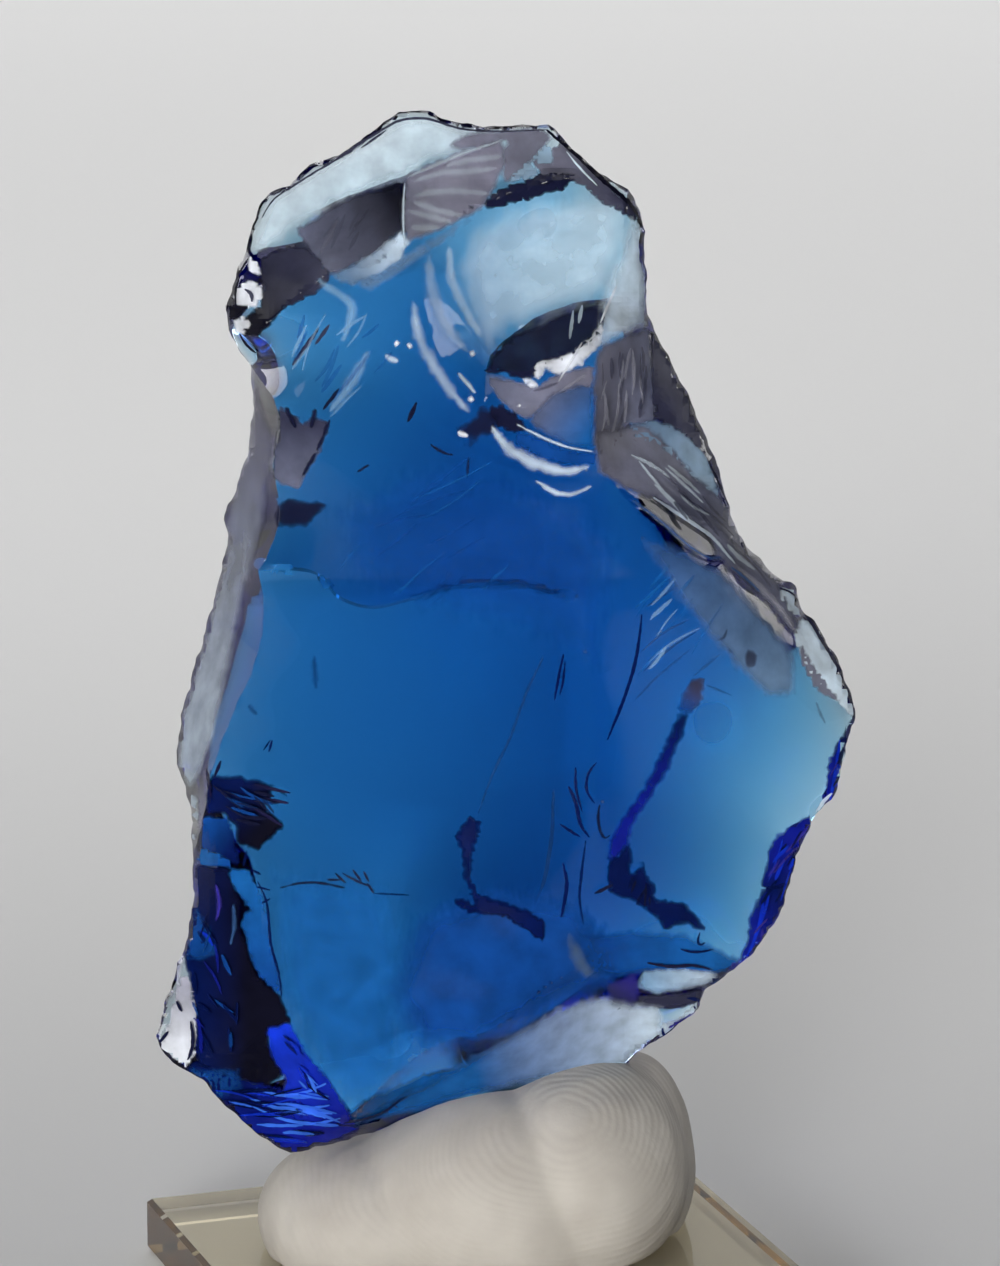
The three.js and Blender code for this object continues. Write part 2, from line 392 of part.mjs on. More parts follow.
function puttyGeometry(crystal) {
  const top = BASE_THICKNESS;
  let solid = lump([-7, 1.5, 5], [6.4, 6.6, 4.8], 8)
    .add(lump([-0.5, 1.4, 6], [8.2, 7.4, 6.6], 0))
    .add(lump([4.8, 3.2, 7.2], [6.2, 8, 6.8], -10))
    .add(lump([8, 7, 6.8], [3.4, 5.6, 6], 12));
  const below = new THREE.BoxGeometry(60, 60, 20);
  below.translate(0, 0, top - 10);
  solid = solid.subtract(toManifold(below));
  const glass = toManifold(crystal);
  const steps = [[PUTTY_GAP, 0, 0], [-PUTTY_GAP, 0, 0], [0, PUTTY_GAP, 0], [0, -PUTTY_GAP, 0],
    [0, 0, -PUTTY_GAP], [0, 0, PUTTY_GAP]];
  for (const step of steps) solid = solid.subtract(glass.translate(step));
  return fromManifold(solid.subtract(glass).simplify(0.02));
}

function baseGeometry() {
  const half = BASE_SIDE / 2 - BASE_BEVEL;
  const outline = new THREE.Shape([
    new THREE.Vector2(-half, -half),
    new THREE.Vector2(half, -half),
    new THREE.Vector2(half, half),
    new THREE.Vector2(-half, half),
  ]);
  const geometry = new THREE.ExtrudeGeometry(outline, {
    depth: BASE_THICKNESS - 2 * BASE_BEVEL,
    bevelEnabled: true,
    bevelThickness: BASE_BEVEL,
    bevelSize: BASE_BEVEL,
    bevelSegments: 1,
  });
  geometry.translate(0, 0, BASE_BEVEL);
  return geometry;
}

const blueGlass = new THREE.MeshStandardMaterial({
  name: 'blue_glass', color: 0x1a5fa0, roughness: 0.05, metalness: 0, transparent: true, opacity: 0.75,
});
const whitePutty = new THREE.MeshStandardMaterial({
  name: 'white_putty', color: 0xc9c4bc, roughness: 0.85, metalness: 0,
});
const clearAcrylic = new THREE.MeshStandardMaterial({
  name: 'clear_acrylic', color: 0xd9cfa8, roughness: 0.1, metalness: 0, transparent: true, opacity: 0.5,
});

function piece(name, geometry, material) {
  const mesh = new THREE.Mesh(geometry, material);
  mesh.name = name;
  return mesh;
}

const crystal = crystalGeometry();
const object = new THREE.Group();
const base = piece('acrylic_base', baseGeometry(), clearAcrylic);
base.rotation.z = BASE_TURN;
object.add(base, piece('putty', puttyGeometry(crystal), whitePutty), piece('crystal', crystal, blueGlass));

export default object;
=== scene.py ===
"""Andara crystal: a chipped lump of clear blue glass in white putty on a clear acrylic square.

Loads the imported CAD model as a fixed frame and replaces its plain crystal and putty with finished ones.
"""
import math
import random
from collections import Counter

import bmesh
import bpy
import numpy as np
from mathutils import Matrix, Vector
from mathutils.geometry import delaunay_2d_cdt
from mathutils.bvhtree import BVHTree
from mathutils.kdtree import KDTree


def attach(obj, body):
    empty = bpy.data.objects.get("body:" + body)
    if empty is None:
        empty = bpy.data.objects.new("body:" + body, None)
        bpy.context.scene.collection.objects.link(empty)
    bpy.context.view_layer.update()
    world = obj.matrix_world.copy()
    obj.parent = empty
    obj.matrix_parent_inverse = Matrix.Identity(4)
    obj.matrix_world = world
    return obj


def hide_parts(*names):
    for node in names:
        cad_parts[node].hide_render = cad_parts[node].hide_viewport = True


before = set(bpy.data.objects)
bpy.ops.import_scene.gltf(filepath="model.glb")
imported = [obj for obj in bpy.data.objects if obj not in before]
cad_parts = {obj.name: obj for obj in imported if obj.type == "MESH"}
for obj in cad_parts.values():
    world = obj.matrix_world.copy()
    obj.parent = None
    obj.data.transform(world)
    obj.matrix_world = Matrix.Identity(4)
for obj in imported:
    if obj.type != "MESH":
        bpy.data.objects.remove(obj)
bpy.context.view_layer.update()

MM = 0.001
CRYSTAL_Y = 6.0                # the crystal's middle plane, in mm from the middle of the base
EYE = np.array((0.34, -324.12, 118.75))     # the crystal's lines are drawn as seen from here, in mm
BEND = 41.0                    # below this height the crystal leans forward ...
LEAN = 0.16                    # ... by this much for each mm down
GRID = 0.24      # spacing of the crystal's mesh, in mm


def report_mesh(mesh):
    """Print how large the mesh is and whether it is closed."""
    bm = bmesh.new()
    bm.from_mesh(mesh)
    open_edges = sum(1 for e in bm.edges if len(e.link_faces) != 2)
    print("MESH", mesh.name, "verts", len(bm.verts), "faces", len(bm.faces), "open edges", open_edges,
          "volume mm3", round(bm.calc_volume() * 1e9, 1))
    bm.free()


def new_object(name, data):
    """An object in the scene with this name and data."""
    obj = bpy.data.objects.new(name, data)
    bpy.context.scene.collection.objects.link(obj)
    return obj


# ---------------------------------------------------------------- the crystal's shape

# The crystal's edges: lines of (x, height, depth) in mm, where depth runs away from the eye from the middle
# plane. RIM is what is seen as the outline, NEAR the edges on the near side, and FAR those on the far side.
RIM = {
    "top": [(-5.2, 67.4, 1.2), (-3.6, 67.4, 1.2), (-2.6, 67, 1.3), (-1.5, 66.7, 1.4), (0.5, 66.6, 1.5)],
    "fan": [(0.5, 66.6, 1.5), (3, 66.7, 1.4)],
    "brow": [(3, 66.7, 1.4), (3.5, 66.3, 1.4), (4.3, 65.4, 1.3), (5.8, 64, 1.2)],
    "temple": [(5.8, 64, 1.2), (7.4, 63.1, 1.2)],
    "collar": [(7.4, 63.1, 1.2), (8.1, 61.8, 1), (8.35, 59.5, 0.8), (8.5, 56.1, 1)],
    "shoulder": [(8.5, 56.1, 1), (9.6, 53.8, 1.3), (10.6, 51.9, 1.5), (11.7, 49.4, 1.5)],
    "patch": [(11.7, 49.4, 1.5), (12.3, 48, 1.3), (12.7, 46.6, 1.2)],
    "arm": [(12.7, 46.6, 1.2), (13.4, 44.3, 1), (14.1, 42.9, 0.8)],
    "edge": [(14.1, 42.9, 0.8), (15.2, 41.8, 0.6), (16, 41.1, 0.5), (16.8, 40.6, 0.5), (17.3, 39.3, 0.5),
        (18.2, 38.2, 0.3), (19.2, 36.5, 0), (20.1, 34.4, -0.3)],
    "side": [(20.1, 34.4, -0.3), (20.3, 33, -0.4), (19.8, 31.2, -0.4), (19.3, 28.7, -0.4),
        (18.2, 27.3, -0.4), (17.3, 25.3, -0.4), (16.9, 24, -0.4), (16.4, 22, -0.5), (15.3, 20, -0.6),
        (14, 18.5, -0.7), (12, 17, -0.6)],
    "heel": [(12, 17, -0.6), (11.6, 15.9, 0.6), (9.8, 14.3, 1.5)],
    "heelLow": [(9.8, 14.3, 1.5), (8.2, 13.3, 2.4)],
    "foot": [(8.2, 13.3, 2.4), (6.5, 11.5, 2.8), (3, 10, 2.4), (-2, 9, 1.3), (-7.2, 8.4, 0.6)],
    "corner": [(-7.2, 8.4, 0.6), (-11.8, 7.3, -1), (-12.9, 7.9, -1.4), (-15.3, 10, -2.2),
        (-16.8, 11.7, -2.4), (-18, 12.4, -2.5)],
    "chip": [(-18, 12.4, -2.5), (-18.6, 12.9, -2.4), (-19.2, 14.1, -2.2), (-18.8, 15.9, -2),
        (-18.1, 18.1, -1.8), (-17.6, 19.4, -1.6)],
    "waist": [(-17.6, 19.4, -1.6), (-17.1, 22, -1.2), (-17.05, 25, -0.4)],
    "hip": [(-17.05, 25, -0.4), (-17.2, 28, 0.8), (-17.9, 30.3, 1.8)],
    "flank": [(-17.9, 30.3, 1.8), (-17.7, 32.5, 2), (-17.1, 35, 2), (-16.2, 38, 1.8), (-15.4, 41, 1.6)],
    "neck": [(-15.4, 41, 1.6), (-14.9, 43.1, 1.5), (-15, 44.7, 1.3), (-14.2, 46.7, 1.2), (-13.6, 49, 1),
        (-13.4, 51.2, 1), (-13.5, 53.2, 1)],
    "jaw": [(-13.5, 53.2, 1), (-14.1, 54, 1), (-14.7, 55.2, 1)],
    "ear": [(-14.7, 55.2, 1), (-14.8, 56.3, 1), (-14.4, 57.9, 1), (-13.7, 59.6, 1)],
    "crown": [(-13.7, 59.6, 1), (-13.4, 60.8, 1), (-12.9, 62.2, 1), (-12.3, 62.9, 1), (-11.3, 63.3, 1),
        (-10.3, 64.3, 1), (-8.2, 65.2, 1.1), (-7, 66.1, 1.1), (-5.2, 67.4, 1.2)],
}

NEAR = {
    "leftUpper": [(-13.5, 53.2, 1), (-12.4, 51.5, -3), (-11.9, 50.2, -4), (-12.3, 47.4, -4.3),
        (-11.95, 44.9, -4.5), (-12.7, 42.3, -4.6), (-13.2, 41.5, -4.6)],
    "leftLower": [(-13.2, 41.5, -4.6), (-12.9, 39.2, -4.3), (-13.4, 36.3, -4), (-14.8, 33, -3.6),
        (-15.9, 29.9, -3.2), (-16.5, 26.8, -2.6)],
    "leftEnd": [(-16.5, 26.8, -2.6), (-17.05, 25, -0.4)],
    "cornerTop": [(-16.5, 26.8, -2.6), (-15.6, 25, -3)],
    "cornerMid": [(-15.6, 25, -3), (-14.2, 24, -3.5), (-13.4, 22.4, -3.7), (-13, 20, -3.9),
        (-12.1, 17.4, -4.1), (-11.4, 15.6, -4.2)],
    "cornerLow": [(-11.4, 15.6, -4.2), (-10.2, 13, -4.2), (-9, 11, -4.2), (-8, 9.5, -4.1)],
    "cornerEnd": [(-8, 9.5, -4.1), (-7.2, 8.4, 0.6)],
    "cornerCrest": [(-15.6, 25, -3), (-16, 20.5, -2.8), (-15.4, 16, -3), (-14.6, 13.2, -3.1)],
    "cornerRoof": [(-14.6, 13.2, -3.1), (-12.8, 15, -3.8), (-11.4, 15.6, -4.2)],
    "cornerSill": [(-18, 12.4, -2.5), (-16.5, 12.9, -2.8), (-14.6, 13.2, -3.1)],
    "chip": [(-17.6, 19.4, -1.6), (-17, 17.4, -2.3), (-16.9, 14.5, -2.6), (-17.3, 13.3, -2.6),
        (-18, 12.4, -2.5)],
    "foot": [(-8, 9.5, -4.1), (-6.4, 11.2, -4.4), (-4.4, 13, -4.8), (-2.4, 14, -5.1), (-0.6, 14.4, -5.3),
        (1, 15.3, -5.4), (2.4, 16.7, -5.2), (3.6, 17.6, -4.7), (5.4, 18.2, -3.7), (7, 17.8, -2.6),
        (8.3, 17.1, -1.8)],
    "footEnd": [(7.4, 13.2, 1.9), (8.2, 13.3, 2.4)],
    "wave": [(-13.2, 41.5, -4.6), (-11.2, 41.7, -5.3), (-9.9, 41.4, -5.6), (-8.7, 40.1, -5.8),
        (-7, 39.5, -6), (-4.5, 40, -6.4), (-2, 40.7, -6.6), (1, 40.85, -6.7), (3.5, 40.3, -6.3),
        (5, 39.9, -6)],
    "waveLow": [(-13.2, 41.5, -4.6), (-11.2, 41.5, -4.2), (-9.9, 41.2, -4.1), (-8.75, 39.9, -4.1),
        (-7, 39.3, -4.1), (-4.5, 39.8, -4.2), (-2, 40.5, -4.3), (1, 40.65, -4.4), (3.3, 40.15, -5),
        (5, 39.9, -6)],
    "waveEnd": [(5, 39.9, -6), (6.2, 43, -6), (6.4, 46.8, -5.2)],
    "keel": [(5, 39.9, -6), (5.6, 34, -5.8), (5.8, 28, -5.8), (6.2, 22, -5), (7, 18.9, -3.2),
        (8.3, 17.1, -1.8)],
    "heel": [(8.3, 17.1, -1.8), (7.6, 15.2, 0.2), (7.4, 13.2, 1.9)],
    "heelTop": [(12, 17.8, -1.5), (10.2, 17.2, -1.7), (8.3, 17.1, -1.8)],
    "heelSide": [(12, 17.8, -1.5), (12, 17, -0.6)],
    "side": [(20.1, 34.4, -0.3), (19.6, 32.5, -0.8), (18.9, 30.3, -0.9), (18.2, 28.3, -0.9),
        (16.8, 27.1, -1), (16, 26.3, -1), (15.6, 24.8, -1.1), (14.9, 22.5, -1.2), (14, 20.4, -1.4),
        (13, 18.8, -1.5), (12, 17.8, -1.5)],
    "edge": [(14.1, 42.9, 0.8), (15.3, 41.1, -1), (16.2, 39.7, -1.3), (16.9, 38.1, -1.4), (17.9, 36.5, -1.2),
        (19, 35.2, -0.8), (20.1, 34.4, -0.3)],
    "armLow": [(6.4, 46.8, -5.2), (8, 45, -5.5), (10, 43.7, -5), (12, 42.5, -4), (13.4, 42.4, -2.6),
        (14.1, 42.9, 0.8)],
    "armTop": [(6.4, 46.8, -5.2), (8.5, 45.7, -4.6), (10, 45, -3.9), (11.5, 44.4, -3), (13, 43.6, -1.6),
        (14.1, 42.9, 0.8)],
    "collarTop": [(7.4, 63.1, 1.2), (7.3, 62, -0.2)],
    "collar": [(7.3, 62, -0.2), (7.2, 60, -0.3), (6.8, 58.3, -0.5), (6.3, 57, -0.9)],
    "collarLow": [(6.3, 57, -0.9), (5.9, 55, -3.2)],
    "throatTop": [(5.9, 55, -3.2), (5.5, 53.5, -4.2)],
    "throatMid": [(5.5, 53.5, -4.2), (5.45, 51.5, -4.8), (5.6, 49.5, -5.2)],
    "throatLow": [(5.6, 49.5, -5.2), (5.9, 47.7, -5.6)],
    "throatEnd": [(5.9, 47.7, -5.6), (6.4, 46.8, -5.2)],
    "shoulderTop": [(5.9, 55, -3.2), (7.2, 55.3, -1.8), (8.5, 56.1, 1)],
    "shoulderMid": [(8.5, 56.1, 1), (8.3, 53, -0.9), (8.7, 50.4, -1.2)],
    "shoulderSill": [(8.7, 50.4, -1.2), (10.4, 50.1, 0.2), (11.7, 49.4, 1.5)],
    "patchLeft": [(8.7, 50.4, -1.2), (7.2, 49.9, -2.2)],
    "patchTip": [(7.2, 49.9, -2.2), (5.6, 49.5, -5.2)],
    "patchLow": [(7.2, 49.9, -2.2), (9.4, 48.7, -1.4), (11.3, 46.9, -0.2), (12.7, 46.6, 1.2)],
    "crownLeft": [(-14.7, 55.2, 1), (-12.6, 55.6, -2.4), (-11, 57, -3), (-9, 58.5, -3.2)],
    "crownRight": [(-9, 58.5, -3.2), (-6.5, 59, -3.2), (-5, 60.7, -2.8)],
    "earTop": [(-13.7, 59.6, 1), (-12.6, 59.8, 0.6), (-10.5, 60.2, 0.2)],
    "earSide": [(-10.5, 60.2, 0.2), (-9, 58.5, -3.2)],
    "crownStep": [(-10.5, 60.2, 0.2), (-11, 61.2, 0.7)],
    "crownLedge": [(-11, 61.2, 0.7), (-9, 62.3, 0.8), (-7.3, 63, 1), (-4.8, 63.9, 1.1)],
    "fanLeft": [(-5, 60.7, -2.8), (-4.9, 62.2, -1.1), (-4.8, 63.9, 1.1)],
    "fanTop": [(-4.8, 63.9, 1.1), (-3, 65.2, 0.9), (-1, 66.1, 1.1), (0.5, 66.6, 1.5)],
    "fanRight": [(3, 66.7, 1.4), (2.2, 65.2, 0.9), (1, 63.9, 0.3)],
    "fanLow": [(-5, 60.7, -2.8), (-3.9, 60.6, -2.6)],
    "scarLeft": [(-3.9, 60.6, -2.6), (-2.6, 61.2, -1.9)],
    "scarTop": [(-2.6, 61.2, -1.9), (-1.2, 62.1, -1.5)],
    "browLeft": [(-1.2, 62.1, -1.5), (0, 63.3, 0), (1, 63.9, 0.3)],
    "browTop": [(1, 63.9, 0.3), (2.6, 64.2, 0.6), (4.2, 64.2, 0.8), (5, 63.9, 0.9)],
    "browLow": [(-1.2, 62.1, -1.5), (0, 62.5, -1.1), (1.6, 63.1, -0.8), (3.6, 63.6, -0.4), (5, 63.9, 0.9)],
    "browEnd": [(5, 63.9, 0.9), (5.8, 64, 1.2)],
    "shellInner": [(-2.6, 61.2, -1.9), (-2.6, 59, -1.7), (-2.1, 57, -1.7), (-1.2, 55.2, -1.9),
        (-0.2, 53.8, -2.5)],
    "shellOuter": [(-3.9, 60.6, -2.6), (-4, 58, -3.2), (-3.6, 55.5, -4), (-2.8, 53.2, -4.8),
        (-1.6, 51.3, -5.4), (-0.4, 50.2, -5.8)],
    "shellLow": [(-0.4, 50.2, -5.8), (1, 48.6, -6.2), (2.6, 47.6, -6.4), (4.4, 47.3, -6.2),
        (5.9, 47.7, -5.6)],
    "lipTop": [(6.3, 57, -0.9), (4, 56.6, -0.2), (2.2, 55.8, -0.4), (0.8, 54.8, -1.2), (-0.2, 53.8, -2.5)],
    "lipSide": [(-0.2, 53.8, -2.5), (-0.4, 53.1, -3.6)],
    "lipLow": [(-0.4, 53.1, -3.6), (0.6, 52.9, -4.6), (2, 52.9, -5), (3, 53.6, -4.8), (4.4, 54, -4.6),
        (5.3, 54.5, -4), (5.9, 55, -3.2)],
    "lensTop": [(-0.4, 53.1, -3.6), (1.2, 52.3, -5), (2.8, 52, -5.3), (4.2, 52.7, -5.1), (5.5, 53.5, -4.2)],
    "lensSide": [(-0.4, 53.1, -3.6), (-0.5, 51.8, -4.8), (-0.4, 50.2, -5.8)],
    "lensLow": [(-0.4, 50.2, -5.8), (0.8, 50.6, -5.4), (2, 50, -5.6), (3.8, 49.4, -5.6), (5.6, 49.5, -5.2)],
}

FAR = {
    "brow": [(-14.7, 55.2, 1), (-12, 56.6, 2.2), (-9.5, 57.4, 3.2), (-4.6, 58.4, 4.2)],
    "browRight": [(-4.6, 58.4, 4.2), (0, 57, 3.4), (5, 56, 2.8)],
    "browEnd": [(5, 56, 2.8), (8.5, 56.1, 1)],
    "leftUpper": [(-4.6, 58.4, 4.2), (-2.6, 53, 4.2), (-1, 47.5, 5.2), (-1.5, 41, 6.6)],
    "leftLower": [(-1.5, 41, 6.6), (-3, 34, 5.4), (-4, 28, 5)],
    "rightUpper": [(5, 56, 2.8), (5.2, 51, 3.8), (5.5, 46.5, 5), (5.2, 40, 6.2)],
    "rightMid": [(5.2, 40, 6.2), (5, 34, 6), (4.6, 30, 5.8)],
    "rightLow": [(4.6, 30, 5.8), (4.9, 25, 6.2), (5.2, 21, 6.4)],
    "rightEnd": [(5.2, 21, 6.4), (5, 18.2, 4.6)],
    "beltLeft": [(-15.4, 41, 1.6), (-11, 40, 4), (-6, 40.5, 5.2), (-1.5, 41, 6.6)],
    "beltRight": [(-1.5, 41, 6.6), (2, 41, 6.8), (5.2, 40, 6.2)],
    "arm": [(5.2, 40, 6.2), (10, 42, 3.6), (14.1, 42.9, 0.8)],
    "hip": [(-17.9, 30.3, 1.8), (-12.5, 29.5, 4), (-8, 28.5, 4.6), (-4, 28, 5)],
    "lensTop": [(-4, 28, 5), (-1.2, 28, 5.4)],
    "lensRoof": [(-1.2, 28, 5.4), (1.5, 29.5, 5.6), (4.6, 30, 5.8)],
    "lensLow": [(-1.2, 28, 5.4), (-0.9, 25.5, 5.6), (-0.5, 23.3, 6), (0.3, 22.2, 6.6), (3, 21.9, 7),
        (5.2, 21, 6.4)],
    "panel": [(-4, 28, 5), (-4.8, 23, 4), (-5, 20, 3.6), (-4.8, 17.6, 3.8), (-4, 15.5, 4.2)],
    "arch": [(-4, 15.5, 4.2), (-1, 15.8, 4.3), (2, 16.6, 4.4), (5, 18.2, 4.6)],
    "heel": [(5, 18.2, 4.6), (6.8, 18, 3.5), (8.6, 16.8, 2.2), (9.8, 14.3, 1.5)],
    "ridge": [(-4.6, 58.4, 4.2), (-2.6, 61.5, 3), (-0.5, 64, 2.4)],
    "crest": [(-0.5, 64, 2.4), (2.4, 64.3, 2.2), (4.8, 63.5, 1.9), (7.4, 63.1, 1.2)],
    "cornerTop": [(-17.05, 25, -0.4), (-15.4, 25.1, 1.2), (-13.2, 24.6, 3)],
    "cornerRidge": [(-13.2, 24.6, 3), (-12.5, 21.5, 3.1), (-11.8, 18.5, 3.1), (-10.9, 15.8, 3),
        (-9.8, 13.2, 2.8)],
    "cornerLow": [(-18, 12.4, -2.5), (-14, 12, 0.6), (-9.8, 13.2, 2.8)],
    "footRidge": [(-9.8, 13.2, 2.8), (-7.4, 13.8, 3.4), (-4, 15.5, 4.2)],
    "chip": [(-17.6, 19.4, -1.6), (-16.9, 17.6, -1.5), (-16.8, 14.6, -1.6), (-17.2, 13.3, -2),
        (-18, 12.4, -2.5)],
    "side": [(20.1, 34.4, -0.3), (19.8, 33.2, 0.4), (19.5, 32.1, 0.8), (19, 31, 1), (18.7, 29.9, 1.1),
        (18.1, 28.9, 1.2), (17.5, 27.7, 1.3), (16.4, 27.1, 1.6), (15.8, 25.9, 1.8), (15.5, 24.7, 1.9),
        (14.9, 23.5, 2), (14.8, 22.6, 2), (14.2, 21.2, 2), (13.9, 19.8, 2), (13.4, 18.9, 1.8),
        (12.4, 18.4, 1.4), (12, 17, -0.6)],
    "panelEnd": [(-4, 15.5, 4.2), (-5.6, 12, 2.7), (-7.2, 8.4, 0.6)],
}

WAVER = ((2.6, 1.0), (1.2, 0.55), (0.7, 0.3))    # length in mm and strength of each waver in a broken edge
WAVER_SHARES = (1, 1, 0.2)     # how much of it goes into x, height and depth


def spline(points, step, rng, wobble):
    """Points about `step` apart on a smooth curve through the given ones, with a small seeded waver."""
    pts = [np.array(p, float) for p in points]
    padded = [2 * pts[0] - pts[1]] + pts + [2 * pts[-1] - pts[-2]]
    out = []
    for i in range(1, len(padded) - 2):
        p0, p1, p2, p3 = padded[i - 1:i + 3]
        spans = ((p0, p1), (p1, p2), (p2, p3))
        k0, k1, k2 = (max(np.linalg.norm(b[:2] - a[:2]), 1e-3) ** 0.5 for a, b in spans)
        m1 = (p2 - p1) - k1 * ((p2 - p0) / (k0 + k1) - (p1 - p0) / k0)
        m2 = (p2 - p1) + k1 * ((p3 - p2) / k2 - (p3 - p1) / (k1 + k2))
        n = max(1, int(round(np.linalg.norm((p2 - p1)[:2]) / step)))
        for j in range(n):
            t = j / n
            a = 2 * t ** 3 - 3 * t ** 2 + 1
            b = t ** 3 - 2 * t ** 2 + t
            c = -2 * t ** 3 + 3 * t ** 2
            d = t ** 3 - t ** 2
            out.append(a * p1 + b * m1 + c * p2 + d * m2)
    out.append(pts[-1])
    line = np.array(out)
    if wobble and len(line) > 4:
        n = len(line)
        s = np.linspace(0, 1, n)
        fade = np.minimum(1, np.minimum(s, 1 - s) * n / 4)
        length = n * step
        wave = np.zeros((n, 3))
        for size, amount in WAVER:
            for axis, share in enumerate(WAVER_SHARES):
                wave[:, axis] += amount * share * np.sin(2 * math.pi * (s * length / size + rng.random()))
        line = line + wave * fade[:, None] * wobble
    return line


def plate(points):
    """A thin plate bent through the points: gives its depth at an array of (x, height)."""
    p = np.array(points, float)
    xy = p[:, :2]

    def bend(a, b):
        """How much a pull at each b moves each a."""
        r2 = ((a[:, None, :] - b[None, :, :]) ** 2).sum(2)
        return np.where(r2 > 0, r2 * np.log(np.maximum(r2, 1e-12)), 0)

    n = len(p)
    m = np.zeros((n + 3, n + 3))
    m[:n, :n] = bend(xy, xy) + 1e-6 * np.eye(n)
    m[:n, n] = 1
    m[:n, n + 1:] = xy
    m[n:, :n] = m[:n, n:].T
    w = np.linalg.solve(m, np.concatenate([p[:, 2], [0, 0, 0]]))
    return lambda q: bend(q, xy) @ w[:n] + w[n] + q @ w[n + 1:]


def inside(q, poly):
    """Which of the points q are inside the polygon."""
    x, y = q[:, 0], q[:, 1]
    hit = np.zeros(len(q), bool)
    x1, y1 = poly[:, 0], poly[:, 1]
    x2, y2 = np.roll(x1, -1), np.roll(y1, -1)
    for a, b, c, d in zip(x1, y1, x2, y2):
        if b == d:
            continue
        cross = (y < b) != (y < d)
        hit ^= cross & (x < (c - a) * (y - b) / (d - b) + a)
    return hit


# Each facet: its name, the lines around it in order (a minus sign turns a line round), and further points
# that its surface bends through.
NEAR_FACETS = [
    ("left_bevel", "rim.hip rim.flank rim.neck leftUpper leftLower leftEnd", []),
    ("corner_outer", "cornerTop cornerCrest -cornerSill -chip rim.waist -leftEnd", []),
    ("corner_inner", "cornerMid -cornerRoof -cornerCrest", []),
    ("corner_foot", "cornerLow cornerEnd rim.corner cornerSill cornerRoof", [(-13.5, 10.8, -1.2)]),
    ("chip", "chip rim.chip", []),
    ("main_left", "leftLower cornerTop cornerMid cornerLow foot -keel -waveLow",
     [(-6, 34, -4.2), (-8, 20, -4.4), (0, 26, -4.8), (0, 20, -5.2)]),
    ("ledge", "wave -waveLow", []),
    ("main_right", "keel -heelTop -side -edge -armLow -waveEnd", [(12, 30, -3.4)]),
    ("sole", "foot heel footEnd rim.foot -cornerEnd", []),
    ("heel", "heelTop heel footEnd -rim.heelLow -rim.heel -heelSide", []),
    ("side", "side heelSide -rim.side", []),
    ("edge", "edge -rim.edge", []),
    ("arm_low", "armLow -armTop", []),
    ("arm", "armTop -rim.arm -patchLow patchTip throatLow throatEnd", []),
    ("patch", "patchLow -rim.patch -shoulderSill patchLeft", []),
    ("shoulder", "shoulderMid shoulderSill -rim.shoulder", []),
    ("throat", "throatTop throatMid -patchTip -patchLeft -shoulderMid -shoulderTop", []),
    ("collar", "collarTop collar collarLow shoulderTop -rim.collar", []),
    ("scar", "scarTop browLow browEnd rim.temple collarTop collar lipTop -shellInner",
     [(0, 59.5, -0.4), (3, 60, 0.3), (3.4, 57.8, 0.3)]),
    ("lip", "lipTop lipSide lipLow -collarLow", []),
    ("sheen", "lipLow throatTop -lensTop", []),
    ("lens", "lensTop throatMid -lensLow -lensSide", []),
    ("shell_low", "lensLow throatLow -shellLow", []),
    ("shell", "scarLeft shellInner lipSide lensSide -shellOuter", []),
    ("brow", "browLeft browTop -browLow", []),
    ("brow_rim", "rim.brow -browEnd -browTop -fanRight", []),
    ("fan", "fanTop rim.fan fanRight -browLeft -scarTop -scarLeft -fanLow fanLeft", []),
    ("crown", "rim.crown rim.top -fanTop -crownLedge -crownStep -earTop", []),
    ("temple", "crownLedge -fanLeft -crownRight -earSide crownStep", []),
    ("ear", "crownLeft -earSide -earTop -rim.ear", []),
    ("main_top",
     "rim.jaw crownLeft crownRight fanLow shellOuter shellLow throatEnd -waveEnd -wave -leftUpper",
     [(-5, 45, -6.2), (1, 44, -6.9), (-8, 53, -3.8)]),
]

FAR_FACETS = [
    ("far_top", "rim.ear rim.crown rim.top rim.fan rim.brow rim.temple -crest -ridge -brow", []),
    ("far_scar", "ridge crest rim.collar -browEnd -browRight", []),
    ("far_left", "rim.neck rim.jaw brow leftUpper -beltLeft", []),
    ("far_middle", "browRight rightUpper -beltRight -leftUpper", []),
    ("far_shoulder", "browEnd rim.shoulder rim.patch rim.arm -arm -rightUpper", []),
    ("far_flank", "rim.flank beltLeft leftLower -hip", []),
    ("far_belt", "beltRight rightMid -lensRoof -lensTop -leftLower", []),
    ("far_lens", "lensRoof rightLow -lensLow", []),
    ("far_panel", "hip panel -footRidge -cornerRidge -cornerTop rim.hip", []),
    ("far_chip", "chip rim.chip", []),
    ("far_corner", "cornerTop cornerRidge -cornerLow -chip rim.waist", []),
    ("far_foot", "cornerLow footRidge panelEnd rim.corner", []),
    ("far_arch", "arch heel rim.heelLow rim.foot -panelEnd", []),
    ("far_thick", "lensTop lensLow rightEnd -arch -panel", [(0, 19, 6.8)]),
    ("far_side", "side -rim.side", []),
    ("far_wing", "arm rim.edge side rim.heel -heel -rightEnd -rightLow -rightMid",
     [(12, 38, 3.2), (12, 30, 3.1), (12, 24, 3.3), (16, 34, 1.7)]),
]


EVEN_LINES = ("wave", "waveLow")   # ridges too fine to waver


def refine(lines, seed, wobble):
    """Every named line at the mesh's spacing."""
    rng = random.Random(seed)
    return {name: spline(points, GRID, rng, 0 if name in EVEN_LINES else wobble)
            for name, points in lines.items()}


def facet_outline(words, lines):
    """The points around a facet, from the names of its lines in order."""
    parts = []
    for word in words.split():
        line = lines[word.lstrip("-")]
        parts.append((line[::-1] if word.startswith("-") else line)[:-1])
    return np.concatenate(parts)


